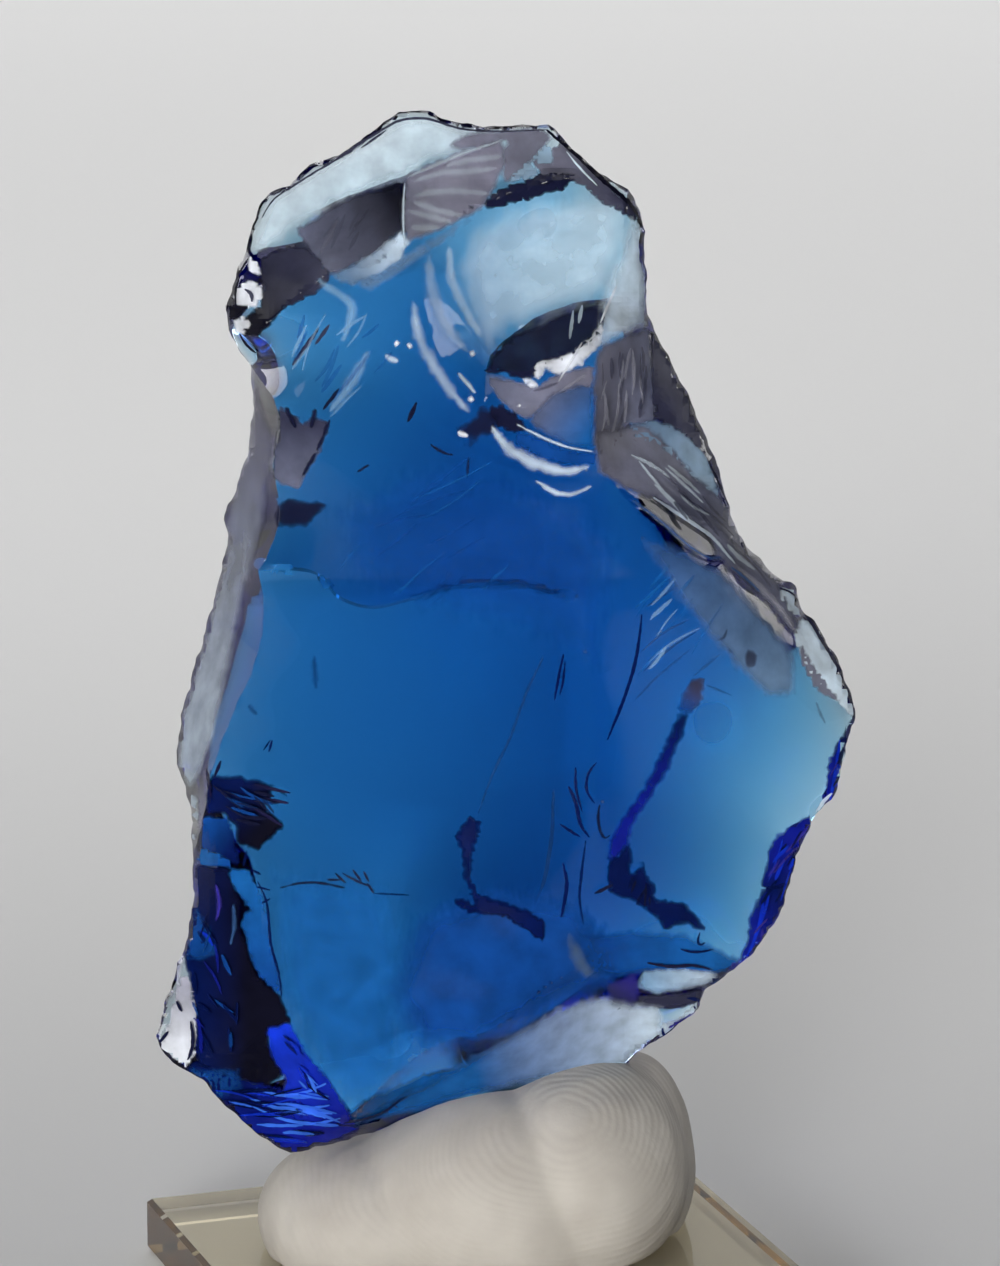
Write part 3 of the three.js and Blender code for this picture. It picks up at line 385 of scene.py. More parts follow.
def tree_of(points):
    """A search tree over the (x, height) of the points."""
    tree = KDTree(len(points))
    for i, p in enumerate(points):
        tree.insert((p[0], p[1], 0), i)
    tree.balance()
    return tree


def gaps(tree, q):
    """How far each of the points q is from the nearest one in the tree."""
    return np.array([tree.find((x, h, 0))[2] for x, h in q])


def boxed(q, outline, margin=0):
    """Which of the points q are in the outline's box, widened by the margin."""
    return ((q >= outline[:, :2].min(0) - margin) & (q <= outline[:, :2].max(0) + margin)).all(1)


def line_net(lines):
    """The points of all the lines, each place once, and the pairs of them that a line joins."""
    keyed, coords, pairs = {}, [], set()
    for line in lines:
        ids = []
        for p in line:
            k = (round(p[0], 4), round(p[1], 4))
            if k not in keyed:
                keyed[k] = len(coords)
                coords.append(tuple(p))
            ids.append(keyed[k])
        pairs.update((a, b) for a, b in zip(ids, ids[1:]) if a != b)
    return np.array(coords), sorted(pairs)


def grid_cloud(lo, hi, rng):
    """Points at the mesh's spacing, in slightly shaken triangles, over the box from lo to hi."""
    gx, gh = np.meshgrid(np.arange(lo[0], hi[0], GRID), np.arange(lo[1], hi[1], GRID * 0.87))
    gx = gx + (np.arange(gx.shape[0]) % 2)[:, None] * GRID / 2
    cloud = np.stack([gx.ravel(), gh.ravel()], 1)
    return cloud + rng.uniform(-0.08, 0.08, cloud.shape) * GRID


def side_points(lines, facets, shared, smooth, relief, sign, seed):
    """One side of the crystal: points (x, height, depth) and triangles, with every line as an edge."""
    coords, pairs = line_net(list(shared.values()) + list(lines.values()))
    edge_xy = coords[:, :2]
    tree = tree_of(coords)
    rim_tree = tree_of(np.concatenate(list(shared.values())))

    cloud = grid_cloud(edge_xy.min(0), edge_xy.max(0), np.random.default_rng(seed))
    owner = np.full(len(cloud), -1)
    depth, clear = np.zeros((2, len(cloud)))
    plates = []
    for number, (_, words, inner) in enumerate(facets):
        outline = facet_outline(words, smooth)
        ids = np.nonzero(boxed(cloud, outline) & (owner < 0))[0]
        ids = ids[inside(cloud[ids], outline)]
        owner[ids] = number
        plates.append(plate(list(outline) + list(inner)))
        depth[ids] = plates[-1](cloud[ids])
    clear[owner >= 0] = gaps(tree, cloud[owner >= 0])
    keep = clear > 0.5 * GRID      # a point closer than this to a line would make slivers
    cloud, owner, depth, clear = cloud[keep], owner[keep], depth[keep], clear[keep]
    names = np.array([facets[i][0] for i in owner])
    depth = depth + sign * (rim_lip(cloud, rim_tree) + relief(cloud, names, clear))
    on_lines = line_depths(edge_xy, facets, smooth, plates, coords[:, 2], rim_tree)
    on_lines = on_lines + sign * rim_lip(edge_xy, rim_tree)
    z = np.concatenate([on_lines, depth])

    flat = [Vector(p) for p in edge_xy] + [Vector(p) for p in cloud]
    verts, _, tris, origin, _, _ = delaunay_2d_cdt(flat, pairs, [], 1, 1e-5, True)
    out = np.zeros((len(verts), 3))
    for i, (v, source) in enumerate(zip(verts, origin)):
        out[i, :2] = v
        if source:
            out[i, 2] = z[source[0]]
        else:                      # a point where two lines cross lies between its nearest neighbours
            out[i, 2] = np.mean([z[j] for _, j, _ in tree.find_n((v.x, v.y, 0), 2)])
    outline = np.concatenate([line[:-1] for line in shared.values()])
    tris = np.array(tris)
    return out, tris[inside(out[tris].mean(1)[:, :2], outline)]


def line_depths(xy, facets, smooth, plates, depth, rim_tree):
    """Depth of each point on a line: the mean of the facets that meet there, or the rim's own depth."""
    total, count = np.zeros((2, len(xy)))
    for (_, words, _), surface in zip(facets, plates):
        outline = facet_outline(words, smooth)
        ids = np.nonzero(boxed(xy, outline, 1))[0]
        ids = ids[gaps(tree_of(outline), xy[ids]) < 0.8 * GRID]
        total[ids] += surface(xy[ids])
        count[ids] += 1
    on_rim = gaps(rim_tree, xy) < 1e-6
    return np.where(on_rim | (count == 0), depth, total / np.maximum(count, 1))


def waves(q, size, seed):
    """Smooth seeded hills and hollows about `size` across, between about -1 and 1."""
    rng = random.Random(seed)
    total = np.zeros(len(q))
    for _ in range(7):
        turn = rng.uniform(0, 2 * math.pi)
        k = 2 * math.pi / (size * rng.uniform(1.3, 3))
        total += np.sin(k * (q[:, 0] * math.cos(turn) + q[:, 1] * math.sin(turn)) + rng.uniform(0, 6.28))
    return total / 3


def rim_lip(q, rim_tree):
    """How far the surface stands out beside the rim, which is blunt and chipped and not a knife edge."""
    gap = gaps(rim_tree, q)
    chips = np.exp(-gap / 0.7)
    high = 0.24 + 0.14 * chips * waves(q, 1.6, 3)
    wide = 0.4 + 0.12 * chips * waves(q, 1.9, 5)
    u = np.minimum(gap / wide, 1)
    return high * np.sqrt(1 - (1 - u) ** 2)


# Facets that broke off smooth; the others are a little rougher.
SMOOTH = ("left_bevel", "arm", "arm_low", "edge", "patch", "shoulder", "throat", "collar", "side", "temple",
          "fan", "lip", "sheen", "lens", "ear")
SCAR_MIDDLE = (5, 57.5)        # the arcs below the scar run around this point
SCAR_ARCS = (                  # radius, width and height of each, in mm
    (6.5, 0.35, 0.05), (8.1, 0.3, 0.03), (9, 0.4, 0.06),
    (9.9, 0.25, 0.04), (11, 0.35, 0.05), (12.2, 0.5, 0.03),
)


def near_relief(q, names, clear):
    """How far the near side stands out from its facets: waves, arcs below the scar and fine ridges."""
    rough = np.where(np.isin(names, SMOOTH), 0.006, 0.02)
    move = rough * np.minimum(clear / 1.2, 1) * waves(q, 4.0, 8)
    right, up = q[:, 0] - SCAR_MIDDLE[0], q[:, 1] - SCAR_MIDDLE[1]
    reach = np.hypot(right, up)
    turn = np.degrees(np.arctan2(up, right))
    below = np.clip((-turn - 80) / 15, 0, 1) * np.clip((160 + turn) / 25, 0, 1)
    for radius, width, height in SCAR_ARCS:
        move = move + below * height * np.exp(-((reach - radius) / width) ** 2) * np.minimum(clear / 0.4, 1)
    climb = q[:, 1] * 0.93 + q[:, 0] * 0.37 + 0.25 * waves(q, 2.5, 41)
    ridges = 0.02 * np.sin(2 * math.pi * climb / 1.1) * np.minimum(clear / 0.5, 1)
    move = move + (names == "corner_foot") * ridges
    spread = np.hypot(q[:, 0] - 3.5, q[:, 1] - 67) + 0.15 * waves(q, 3, 31)
    rays = 0.022 * np.sin(2 * math.pi * spread / 1.15) * np.minimum(clear / 0.5, 1)
    return move + (names == "fan") * rays


def far_relief(q, names, clear):
    """How far the far side stands out from its facets: the same slight waves on every one."""
    return 0.03 * np.minimum(clear / 1.2, 1) * waves(q, 3.4, 9)


def place(x, height, depth):
    """The point seen at (x, height) on the middle plane, moved along its line of sight to its depth."""
    depth = depth + LEAN * min(height - BEND, 0)
    on_plane = np.array((x, CRYSTAL_Y, height))
    return EYE + (on_plane - EYE) * (1 + depth / (CRYSTAL_Y - EYE[1]))


def turned_area(tri, flat):
    """Twice the triangle's area, below zero where it turns clockwise."""
    a, b, c = (flat[i] for i in tri)
    return (b[0] - a[0]) * (c[1] - a[1]) - (b[1] - a[1]) * (c[0] - a[0])


def crystal_mesh():
    """The whole crystal: both sides, joined point to point along the rim."""
    shared = refine(RIM, 5, 0.05)
    smooth = {"rim." + name: line for name, line in refine(RIM, 5, 0).items()}
    near_smooth = {**smooth, **refine(NEAR, 11, 0)}
    far_smooth = {**smooth, **refine(FAR, 13, 0)}
    near_lines = refine(NEAR, 11, 0.03)
    far_lines = refine(FAR, 13, 0.04)
    near_pts, near_tris = side_points(near_lines, NEAR_FACETS, shared, near_smooth, near_relief, -1, 21)
    far_pts, far_tris = side_points(far_lines, FAR_FACETS, shared, far_smooth, far_relief, 1, 23)
    rim_spots = [Vector(p[:2]) for line in shared.values() for p in line]
    rim_keys = {(round(p.x, 4), round(p.y, 4)) for p in rim_spots}
    points, lookup = [], {}

    def point_id(p):
        """The number of a new point, or of the rim point that is already there."""
        k = (round(p[0], 4), round(p[1], 4))
        if k in rim_keys:
            if k in lookup:
                return lookup[k]
            lookup[k] = len(points)
        points.append(place(*p) * MM)
        return len(points) - 1

    faces = []
    for pts, tris, near_side in ((near_pts, near_tris, True), (far_pts, far_tris, False)):
        ids = [point_id(p) for p in pts]
        for tri in tris:
            outward = (turned_area(tri, pts) > 0) == near_side
            faces.append(tuple(ids[i] for i in (tri if outward else tri[::-1])))
    seen = Counter(frozenset(f) for f in faces)
    faces = [f for f in faces if seen[frozenset(f)] == 1]
    mesh = bpy.data.meshes.new("crystal_mesh")
    mesh.from_pydata(points, [], faces)
    mesh.validate()
    mesh.update()
    return mesh


# ---------------------------------------------------------------- cracks, and the light and shade painted on the glass

PALETTE = {                    # colours painted on the glass as reflections, sheens, glints and shade, linear
    "black": (0.005, 0.005, 0.014), "ink": (0.012, 0.014, 0.045), "slate": (0.045, 0.047, 0.09),
    "dusk": (0.15, 0.16, 0.235), "grey": (0.19, 0.19, 0.25), "mauve": (0.24, 0.235, 0.31),
    "greyer": (0.42, 0.42, 0.5), "pale": (0.7, 0.8, 0.87), "white": (0.82, 0.84, 0.88),
    "haze": (0.16, 0.26, 0.4), "paleblue": (0.32, 0.45, 0.58), "sky": (0.3, 0.5, 0.7),
    "azure": (0.013, 0.14, 0.44), "deep": (0.008, 0.075, 0.33),
    "ultra": (0.008, 0.016, 0.3), "ultrabright": (0.009, 0.045, 0.66), "ripple": (0.06, 0.22, 0.9),
    "navy": (0.003, 0.01, 0.085), "plum": (0.012, 0.011, 0.05), "umber": (0.06, 0.05, 0.085),
    "violet": (0.05, 0.04, 0.36), "slateblue": (0.05, 0.13, 0.33),
}

# Paper-thin sheets on the glass that paint its reflections, sheens, glints and the dark shade where light is
# lost to total reflection inside it: how much each covers (1 all), how softly it ends in mm, one colour, or
# two with the points where they are purest, and an outline of (x, height).
PAINTED_SHEETS = [
    # wide tints on the arm and the body
    (0.9, 1, ("slateblue", "haze", (9.4, 42.4), (16, 35.4)), [(8.2, 43.4), (11, 42.4), (13, 41.2), (15, 39),
        (16.8, 36.8), (17, 34.4), (15.4, 34.2), (12.6, 37.2), (10.4, 40)]),
    (0.35, 3, "deep", [(-9, 45), (-4, 47.5), (2, 46.5), (7, 43), (6, 36), (2, 38), (-4, 39.4), (-8, 41)]),
    # the scar
    (0.3, 2, "pale", [(-1.2, 60.9), (0.8, 61.9), (3.2, 62.4), (5.6, 63), (7.2, 62.6), (7.4, 60.5),
        (6.6, 57.6), (5.3, 56.7), (3.2, 56), (1, 55.2), (-0.3, 53.8), (-1.6, 56), (-2.2, 58.8)]),
    # the sole and the low corner
    (0.9, 0.7, ("deep", "azure", (6, 19), (13, 18.6)), [(5.2, 20.2), (8, 20.4), (11, 20.2), (14.4, 18.5),
        (12.6, 17.9), (9, 18.1), (7, 17.8), (5.4, 18)]),
    (0.85, 2.5, "deep", [(-6, 17), (-4.4, 21.4), (0, 23), (5, 22.2), (7.2, 19.4), (7, 17.2), (4.4, 16.2),
        (1.5, 14.8), (-1, 13.4), (-4.5, 13.6)]),
    (0.5, 3, "azure", [(-12.6, 24), (-6, 23), (-4.4, 18), (-5, 12), (-8, 9.2), (-10.4, 12), (-12.4, 17)]),
    (0.9, 0.5, "azure", [(-9, 8.8), (-5, 9.7), (-0.6, 10.9), (-1, 12.6), (-4, 11.9), (-8, 10)]),
    # the crown's painted pale light, and the temple's painted sheen fading into painted dark shade
    (0.45, 1.2, "pale", [(-13.4, 59.7), (-12.8, 61.5), (-12.3, 62.6), (-9.8, 64.2), (-7.5, 65.6), (-5.2, 67),
        (-3.6, 67.1), (-1.7, 66.4), (0.1, 66.2), (-1.7, 65.1), (-3.6, 64.5), (-4.8, 63.8), (-8, 62.6),
        (-10.9, 61), (-12.5, 59.7)]),
    (1, 0.4, ("dusk", "black", (-10, 59.5), (-5.4, 62.4)), [(-10.9, 60.8), (-9.3, 61.8), (-8, 62.6),
        (-6.6, 63), (-5.2, 63.4), (-5, 62.7), (-5, 60.8), (-6.6, 59.5), (-9, 58.2), (-9.8, 59.2)]),
    (0.75, 0.4, ("haze", "pale", (-8, 57.9), (-4.9, 60)), [(-9, 58.2), (-6.6, 59.5), (-5, 60.8),
        (-4.7, 60.2), (-5.2, 59.2), (-6.3, 58.4), (-7.9, 57.7)]),
    (0.6, 0.5, "haze", [(-7.9, 57.9), (-6.3, 58.4), (-4.7, 59.5), (-2.8, 60.6), (-1.2, 61.5), (-2.9, 60.1),
        (-5.2, 58.6), (-6.8, 57.5)]),
    # the ear's painted dark shade
    (1, 0.2, ("slate", "black", (-10, 58.5), (-13, 56)), [(-12.8, 59.3), (-11.6, 59.7), (-10.4, 59.8),
        (-9.7, 59.2), (-9, 58.2), (-9.8, 57.4), (-10.7, 56.9), (-11.6, 56.5), (-12.3, 55.6), (-13.2, 54.9),
        (-13.9, 54.9), (-13.9, 55.6), (-13, 56.6), (-12.7, 57.5), (-12.9, 58.4)]),
    # the fan's painted grey sheen, and painted dark shade along the brow
    (1, 0.5, ("grey", "mauve", (-3.8, 60.6), (-1.7, 64.5)), [(-4.8, 63.8), (-3.6, 64.5), (-1.7, 65.1),
        (0.5, 65.9), (0.6, 64.5), (0.1, 63.3), (-0.6, 62.2), (-1.7, 61.5), (-3.1, 60.8), (-4.8, 60.2),
        (-5, 61.3), (-4.9, 62.7)]),
    (0.9, 0.4, ("mauve", "grey", (-2, 65.4), (1.8, 65.2)), [(-2.7, 65.4), (-1.3, 66.2), (0.4, 66.3),
        (2.5, 66.5), (3.2, 66.1), (2.5, 65.2), (1.7, 64.2), (0.6, 63.4), (0.5, 64.5), (0.5, 65.8),
        (-1, 65.4)]),
    (1, 0.1, "ink", [(-0.6, 62.3), (0.3, 63), (2.2, 63.8), (3.4, 64.1), (4.7, 63.8), (3.7, 63.1),
        (1.6, 62.5), (-0.3, 62)]),
    (1, 0.2, ("slate", "grey", (7, 62), (3, 65.4)), [(2.1, 64.6), (3.4, 65.4), (3.9, 65.8), (5, 64.5),
        (6.8, 62.9), (8, 61.9), (7.9, 61.3), (6.8, 62), (5.9, 62.4), (5, 63.4), (3.6, 63.9), (2.7, 63.9)]),
    (0.9, 0.1, "paleblue", [(0.8, 63.5), (1.8, 64.6), (2.5, 63.9), (1.7, 63.7)]),
    (0.9, 0.1, "paleblue", [(2.3, 64.9), (2.8, 65.6), (3.4, 64.9), (3.2, 64.5), (2.5, 64.5)]),
    # painted white glints and black shade on the ear's chipped rim
    (1, 0.05, "white", [(-14.1, 57.5), (-13.7, 58), (-13.2, 57.9), (-12.8, 57.4), (-13, 56.6), (-13.5, 56.5),
        (-14.1, 56.6), (-14.4, 57)]),
    (1, 0.05, "black", [(-14.8, 56.3), (-14.3, 56.6), (-13.6, 56.5), (-14.1, 56), (-14.6, 55.7),
        (-14.9, 55.9)]),
    (1, 0.05, "white", [(-14.5, 55.7), (-13.9, 56), (-13.5, 55.6), (-13.8, 55), (-14.2, 55)]),
    (1, 0.05, "white", [(-13.6, 59.3), (-13.4, 59.2), (-12.8, 58.4), (-13, 58.3), (-13.6, 58.6)]),
    # the lens and what lies below it: the lip's painted dark shade, a painted sheen on the lens and a
    # painted white crescent of reflected light
    (1, 0.2, "ink", [(-0.5, 52.8), (0.3, 53.9), (1.1, 54.8), (2.6, 55.4), (4, 56), (5.4, 56.4), (6.4, 56.6),
        (6.2, 55.7), (5.6, 54.9), (4.5, 53.9), (3.4, 53.5), (2.4, 53.2), (2.1, 52.5), (1.3, 52.6),
        (0.4, 52.9)]),
    (1, 0.3, ("dusk", "mauve", (0.1, 52.3), (5.2, 52.7)), [(-0.4, 52.6), (0.8, 52.3), (2.4, 51.9),
        (3.6, 52.7), (4.9, 53), (5.5, 53.2), (5.4, 52.1), (4.3, 51.9), (3.3, 51.5), (1.9, 50.1), (1.1, 50.6),
        (0.2, 51.5)]),
    (0.9, 0.3, "white", [(6.1, 55.6), (5.8, 54.3), (4.8, 53.3), (3.5, 52.7), (2.8, 53), (2.3, 52.2),
        (2.8, 51.7), (1.5, 52.3), (2.3, 52.5), (2.4, 53.3), (3.4, 53.5), (4.5, 54), (5.5, 54.9)]),
    (0.9, 0.5, ("dusk", "azure", (2.2, 50.9), (5.2, 49)), [(3.3, 51.6), (5.4, 52.2), (5.6, 48.6),
        (4.4, 48.7), (3.1, 49.3), (1.9, 50.1)]),
    (1, 0.2, "ink", [(-0.3, 50.8), (0.4, 50.9), (1.3, 50.3), (1.9, 49.7), (1.2, 49.4), (0.1, 49.9)]),
    (1, 0.2, "deep", [(1.3, 49.4), (2.6, 48.9), (4, 48.3), (5.6, 48.2), (5.6, 47.7), (4, 47.7), (2.4, 48.1),
        (1.3, 48.8)]),
    # the neck and the middle: painted dark shade
    (0.95, 0.3, ("slate", "dusk", (-11.1, 50.1), (-11.7, 46.9)), [(-12, 50.9), (-11.1, 50.3), (-10.6, 49.9),
        (-9.9, 50.2), (-9.2, 49.9), (-9.6, 48.7), (-10.4, 47.2), (-10.9, 46.3), (-11.7, 46.4), (-12.3, 46.9),
        (-12.2, 48.7), (-11.9, 49.8)]),
    (0.85, 0.4, "ink", [(-12.3, 44.8), (-11.5, 45.6), (-10.7, 45.4), (-9.9, 45.4), (-9.4, 45.4),
        (-9.9, 44.7), (-10.5, 44.1), (-12.1, 44.1)]),
    (0.8, 0.5, "ink", [(-2.2, 49.6), (-1.2, 50), (-0.6, 50.9), (0.2, 50.2), (0.1, 49.4), (-0.8, 49.2),
        (-1.7, 48.4), (-1.4, 49.2)]),
    # the collar and the shoulder: painted pale light, grey sheen and dark shade
    (0.6, 1, "pale", [(6, 56.6), (7, 59.2), (7.7, 61.8), (8.2, 60.6), (8.6, 56.3), (8.5, 55.6), (7, 54.8),
        (5.9, 54.2)]),
    (1, 0.5, ("grey", "dusk", (5.8, 51.9), (8.6, 51.9)), [(5.8, 54.1), (7, 54.7), (8.6, 55.3), (8.8, 52.9),
        (9, 50), (7.4, 49.8), (6.8, 48.6), (5.7, 48.1), (5.6, 50.1), (5.6, 52.3)]),
    (1, 0.08, "slate", [(8.7, 55.6), (9.1, 54.7), (10.4, 52.3), (11.5, 48.9), (11.8, 48.1), (10.9, 49),
        (10, 49.7), (9, 50.1), (8.8, 52.9)]),
    (1, 0.3, ("haze", "paleblue", (7.9, 49.2), (11.5, 47.4)), [(7.4, 49.7), (9, 50), (10, 49.7), (10.9, 49),
        (11.8, 48.1), (12.6, 45.6), (11.1, 46.9), (10.4, 47.6), (9.3, 48.6), (8.1, 48.9)]),
    # the arm and the thin edge: painted grey sheen and pale light
    (1, 0.5, ("grey", "dusk", (6.1, 47.9), (11.1, 45.8)), [(5.7, 49.4), (6.8, 49.6), (8.4, 49.8),
        (10.1, 48.3), (11.3, 46.7), (12.7, 45.7), (13.5, 44.7), (14.2, 42.4), (15.9, 40.8), (17.2, 38.3),
        (16.8, 37.8), (15.4, 39.6), (13.3, 41.4), (12.5, 42.4), (12, 43.7), (10.4, 44.7), (9, 45.6),
        (7.3, 46.3), (5.9, 47.1)]),
    (0.85, 0.2, "pale", [(16.8, 37.8), (17.2, 38.7), (18.1, 38.2), (19.2, 36.4), (20.1, 34.3), (20.3, 33.1),
        (19, 34.3), (17.9, 35.3), (17.2, 36.8)]),
    (0.8, 0.15, "grey", [(17.1, 37.4), (17.6, 36.6), (18.6, 35), (19.5, 34), (18.3, 34.5), (17.4, 35.9)]),
    (0.8, 0.1, "pale", [(16, 40.5), (17, 40.2), (17.4, 38.8), (16.7, 39.1), (16.1, 39.9)]),
    # the right band: painted ultramarine light and navy shade
    (0.95, 0.25, ("navy", "ultra", (20.4, 30.3), (19.3, 29.9)), [(20.3, 33), (20.6, 32.4), (20.3, 30.8),
        (19.8, 28.7), (19.2, 27.7), (18.8, 28.4), (18.9, 30.3), (19.5, 31.7)]),
    (0.95, 0.3, ("ultra", "navy", (16, 24.7), (16.4, 22.8)), [(19.3, 28.2), (18.2, 26.6), (17.3, 25.2),
        (16.9, 23.3), (15.2, 23), (15.7, 25.6), (16.1, 26.1), (16.4, 26.3), (17.8, 27.2)]),
    (0.95, 0.3, ("navy", "ultra", (16.5, 22.6), (14.9, 20.9)), [(16.9, 23.2), (16.5, 21.4), (15.6, 19.7),
        (14.2, 18.1), (13.8, 18.2), (14.4, 19.7), (14.6, 21.4), (15.2, 22.9)]),
    (0.9, 0.2, ("navy", "slateblue", (14.2, 18.1), (12.2, 16.6)), [(14.2, 18.2), (12.9, 17.1), (12.1, 16.5),
        (12.4, 17.4), (13.5, 17.9)]),
    # the right face
    (0.75, 0.3, ("umber", "deep", (11.4, 34.6), (10.6, 33.4)), [(10.6, 34.2), (11.1, 35.1), (11.9, 35.4),
        (11.6, 34), (11, 33.1), (10.4, 33.5)]),
    (0.9, 0.4, ("navy", "ultra", (10.4, 32.8), (8.4, 28)), [(10.5, 33.3), (11, 33.1), (10.5, 31.7),
        (9.7, 29.8), (8.7, 28.2), (7.8, 26.8), (7.6, 25.6), (7.1, 24.9), (6.4, 24.6), (6.7, 25.9),
        (7.4, 27.3), (8.5, 28.9), (9.4, 30.8), (10, 32.2)]),
    (0.95, 0.3, "navy", [(6.5, 24.7), (7.1, 24.9), (7.6, 25.7), (8, 24), (8.3, 24.6), (8.6, 23.7), (9, 23.3),
        (9.2, 22.3), (10.6, 22.1), (11.5, 21.4), (12, 20.5), (11, 20.9), (9.7, 20.7), (8.9, 21.6),
        (7.8, 22.3), (6.5, 22.9)]),
    # the heel and the sole
    (0.6, 0.4, ("pale", "sky", (12.6, 17.8), (8.5, 17.4)), [(8.2, 17.2), (8.5, 18.1), (10.6, 18.2),
        (12.9, 17.9), (12.4, 17.4), (10.6, 17), (9, 16.8)]),
    (0.9, 0.25, "slate", [(8, 16.5), (9.2, 16.6), (10.6, 16.8), (12.4, 17), (12, 16.4), (10.6, 16),
        (9.5, 15.9), (8.4, 16.1)]),
    (0.6, 0.5, ("violet", "slate", (8.1, 17.8), (6.7, 16.2)), [(6.5, 17.2), (7.9, 17.8), (8.2, 17.4),
        (8.1, 16.5), (7.9, 15.8), (6.7, 15.7)]),
    (0.7, 0.2, "pale", [(9.4, 14.1), (9.6, 14.9), (10.6, 15.2), (11.5, 16.2), (12.1, 15.7), (11.9, 14.9),
        (10.6, 14.3), (9.7, 13.8)]),
    (0.35, 0.6, "haze", [(4.2, 20.4), (5.1, 19), (5.8, 17.8), (5.1, 17.8), (4.4, 19)]),
    (0.85, 0.9, ("azure", "pale", (-1, 12), (9.5, 14.4)), [(-8.1, 9.1), (-3.7, 11.5), (1.5, 14.5),
        (3.8, 15.9), (6, 16.5), (7.5, 16.2), (9.5, 15.9), (9.6, 14.3), (8.3, 12.6), (3.8, 11.9),
        (-0.8, 10.9), (-5.4, 9.5)]),
    # small marks
    (0.4, 0.3, "slate", [(14.2, 36.9), (14.8, 36.8), (14.5, 35.9), (14.2, 36)]),
    (0.95, 0.25, "navy", [(-1.4, 27.2), (-0.8, 26.9), (-0.9, 26.2), (-1.2, 25.3), (-1.4, 23.5), (-0.9, 22.6),
        (0.2, 22.2), (2, 21.6), (2.9, 20.9), (2.9, 19.8), (1.8, 20.6), (0.6, 21.4), (-1.4, 21.6),
        (-2.4, 22.3), (-1.1, 22.2), (-1.6, 23.5), (-1.8, 25.3), (-2.2, 26), (-1.8, 26.6)]),
    # the hip and the lower left corner
    (1, 0.35, ("black", "navy", (-13.1, 26.6), (-15.3, 28.6)), [(-16, 29.6), (-14.4, 29.5), (-12.8, 29.1),
        (-11.6, 28.5), (-12.6, 28.6), (-12, 28.1), (-13, 27.9), (-11.9, 26.7), (-13.3, 25.3), (-14.5, 25.7),
        (-14.6, 26.7), (-15.3, 27.4), (-16.3, 27.5)]),
    (1, 0.2, ("navy", "deep", (-14.8, 25.5), (-16.4, 26.8)), [(-16.4, 27.2), (-15, 27), (-14.5, 25.1),
        (-14.6, 24.4), (-15.5, 25), (-16.6, 25.4)]),
    (1, 0.3, ("black", "navy", (-14.1, 16.1), (-17.1, 16.1)), [(-16.8, 24.4), (-15.1, 24), (-14.5, 22.4),
        (-14.5, 20.7), (-14, 19.2), (-13.5, 17.8), (-12.2, 16.6), (-11.6, 15), (-12.9, 14.5), (-12.8, 13.3),
        (-12, 12.2), (-12.9, 11.1), (-14.6, 11.6), (-16.8, 12.5), (-17.1, 14.4), (-17.2, 17), (-17.6, 18.6),
        (-17.3, 20.3), (-17.2, 22.1)]),
    (1, 0.15, ("azure", "deep", (-16.2, 25), (-15.3, 24.3)), [(-16.6, 25.3), (-15.5, 25), (-14.9, 24.3),
        (-15.7, 24.3), (-16.7, 24.6)]),
    (0.95, 0.25, ("azure", "deep", (-14, 23.4), (-12.6, 17.2)), [(-15.1, 24.1), (-14, 24), (-13.3, 22.7),
        (-12.9, 21.4), (-12.7, 19.6), (-12.2, 16.8), (-13.2, 17.7), (-13.8, 18.9), (-14.3, 21),
        (-13.8, 21.9), (-14.5, 22.7)]),
    (0.8, 0.4, "deep", [(-17, 22), (-16.3, 20.7), (-15.7, 19.2), (-16.8, 18.8), (-17.5, 18.9)]),
    (1, 0.3, ("ultra", "navy", (-12.1, 7.3), (-16.3, 10.8)), [(-17.1, 12.6), (-14.6, 11.7), (-12.9, 11.2),
        (-11.8, 10.8), (-9.6, 9.1), (-7.6, 8.7), (-9.6, 7.8), (-11.6, 6.7), (-12.3, 6.7), (-13.8, 7.6),
        (-15.5, 9), (-16.7, 10.3), (-17.9, 11.8)]),
    (1, 0.3, ("ultrabright", "ultra", (-12.1, 14.4), (-8.9, 9.4)), [(-12.9, 14.6), (-11.7, 15),
        (-10.9, 13.3), (-9.5, 11.6), (-8.5, 9.8), (-8, 8.9), (-9.6, 8.9), (-11.3, 9.2), (-12.1, 10.5),
        (-11.8, 11.7), (-12.6, 13)]),
    (0.7, 0.5, "deep", [(-17.8, 12.2), (-14.6, 12.2), (-14.4, 11), (-15.6, 10.6), (-16.9, 11)]),
    # the chip and the left rim
    (1, 0.15, ("white", "greyer", (-18, 13), (-17.4, 17)), [(-17.7, 18), (-17.2, 17.2), (-17, 15.4),
        (-17.1, 13.3), (-17.8, 12.3), (-18.6, 12.6), (-19.2, 13.4), (-18.6, 14.7), (-18.1, 16.5)]),
    (0.45, 0.6, ("mauve", "pale", (-13.6, 50.1), (-17.2, 29.4)), [(-13.5, 53), (-12.4, 49), (-13, 44.4),
        (-14.2, 39.8), (-15.1, 35.2), (-15.9, 31.7), (-16.6, 30), (-17.2, 28.8), (-17.8, 30), (-17.6, 32.9),
        (-16.2, 37.5), (-15.2, 42.1), (-14.6, 45.6), (-13.9, 49.6)]),
    (0.6, 0.3, ("pale", "greyer", (-17.2, 28.2), (-18.5, 16.4)), [(-17.6, 28.8), (-16.8, 28.2),
        (-17.2, 22.3), (-17.9, 17.6), (-18.8, 15.8), (-18.1, 20.6), (-17.7, 24.7)]),
]
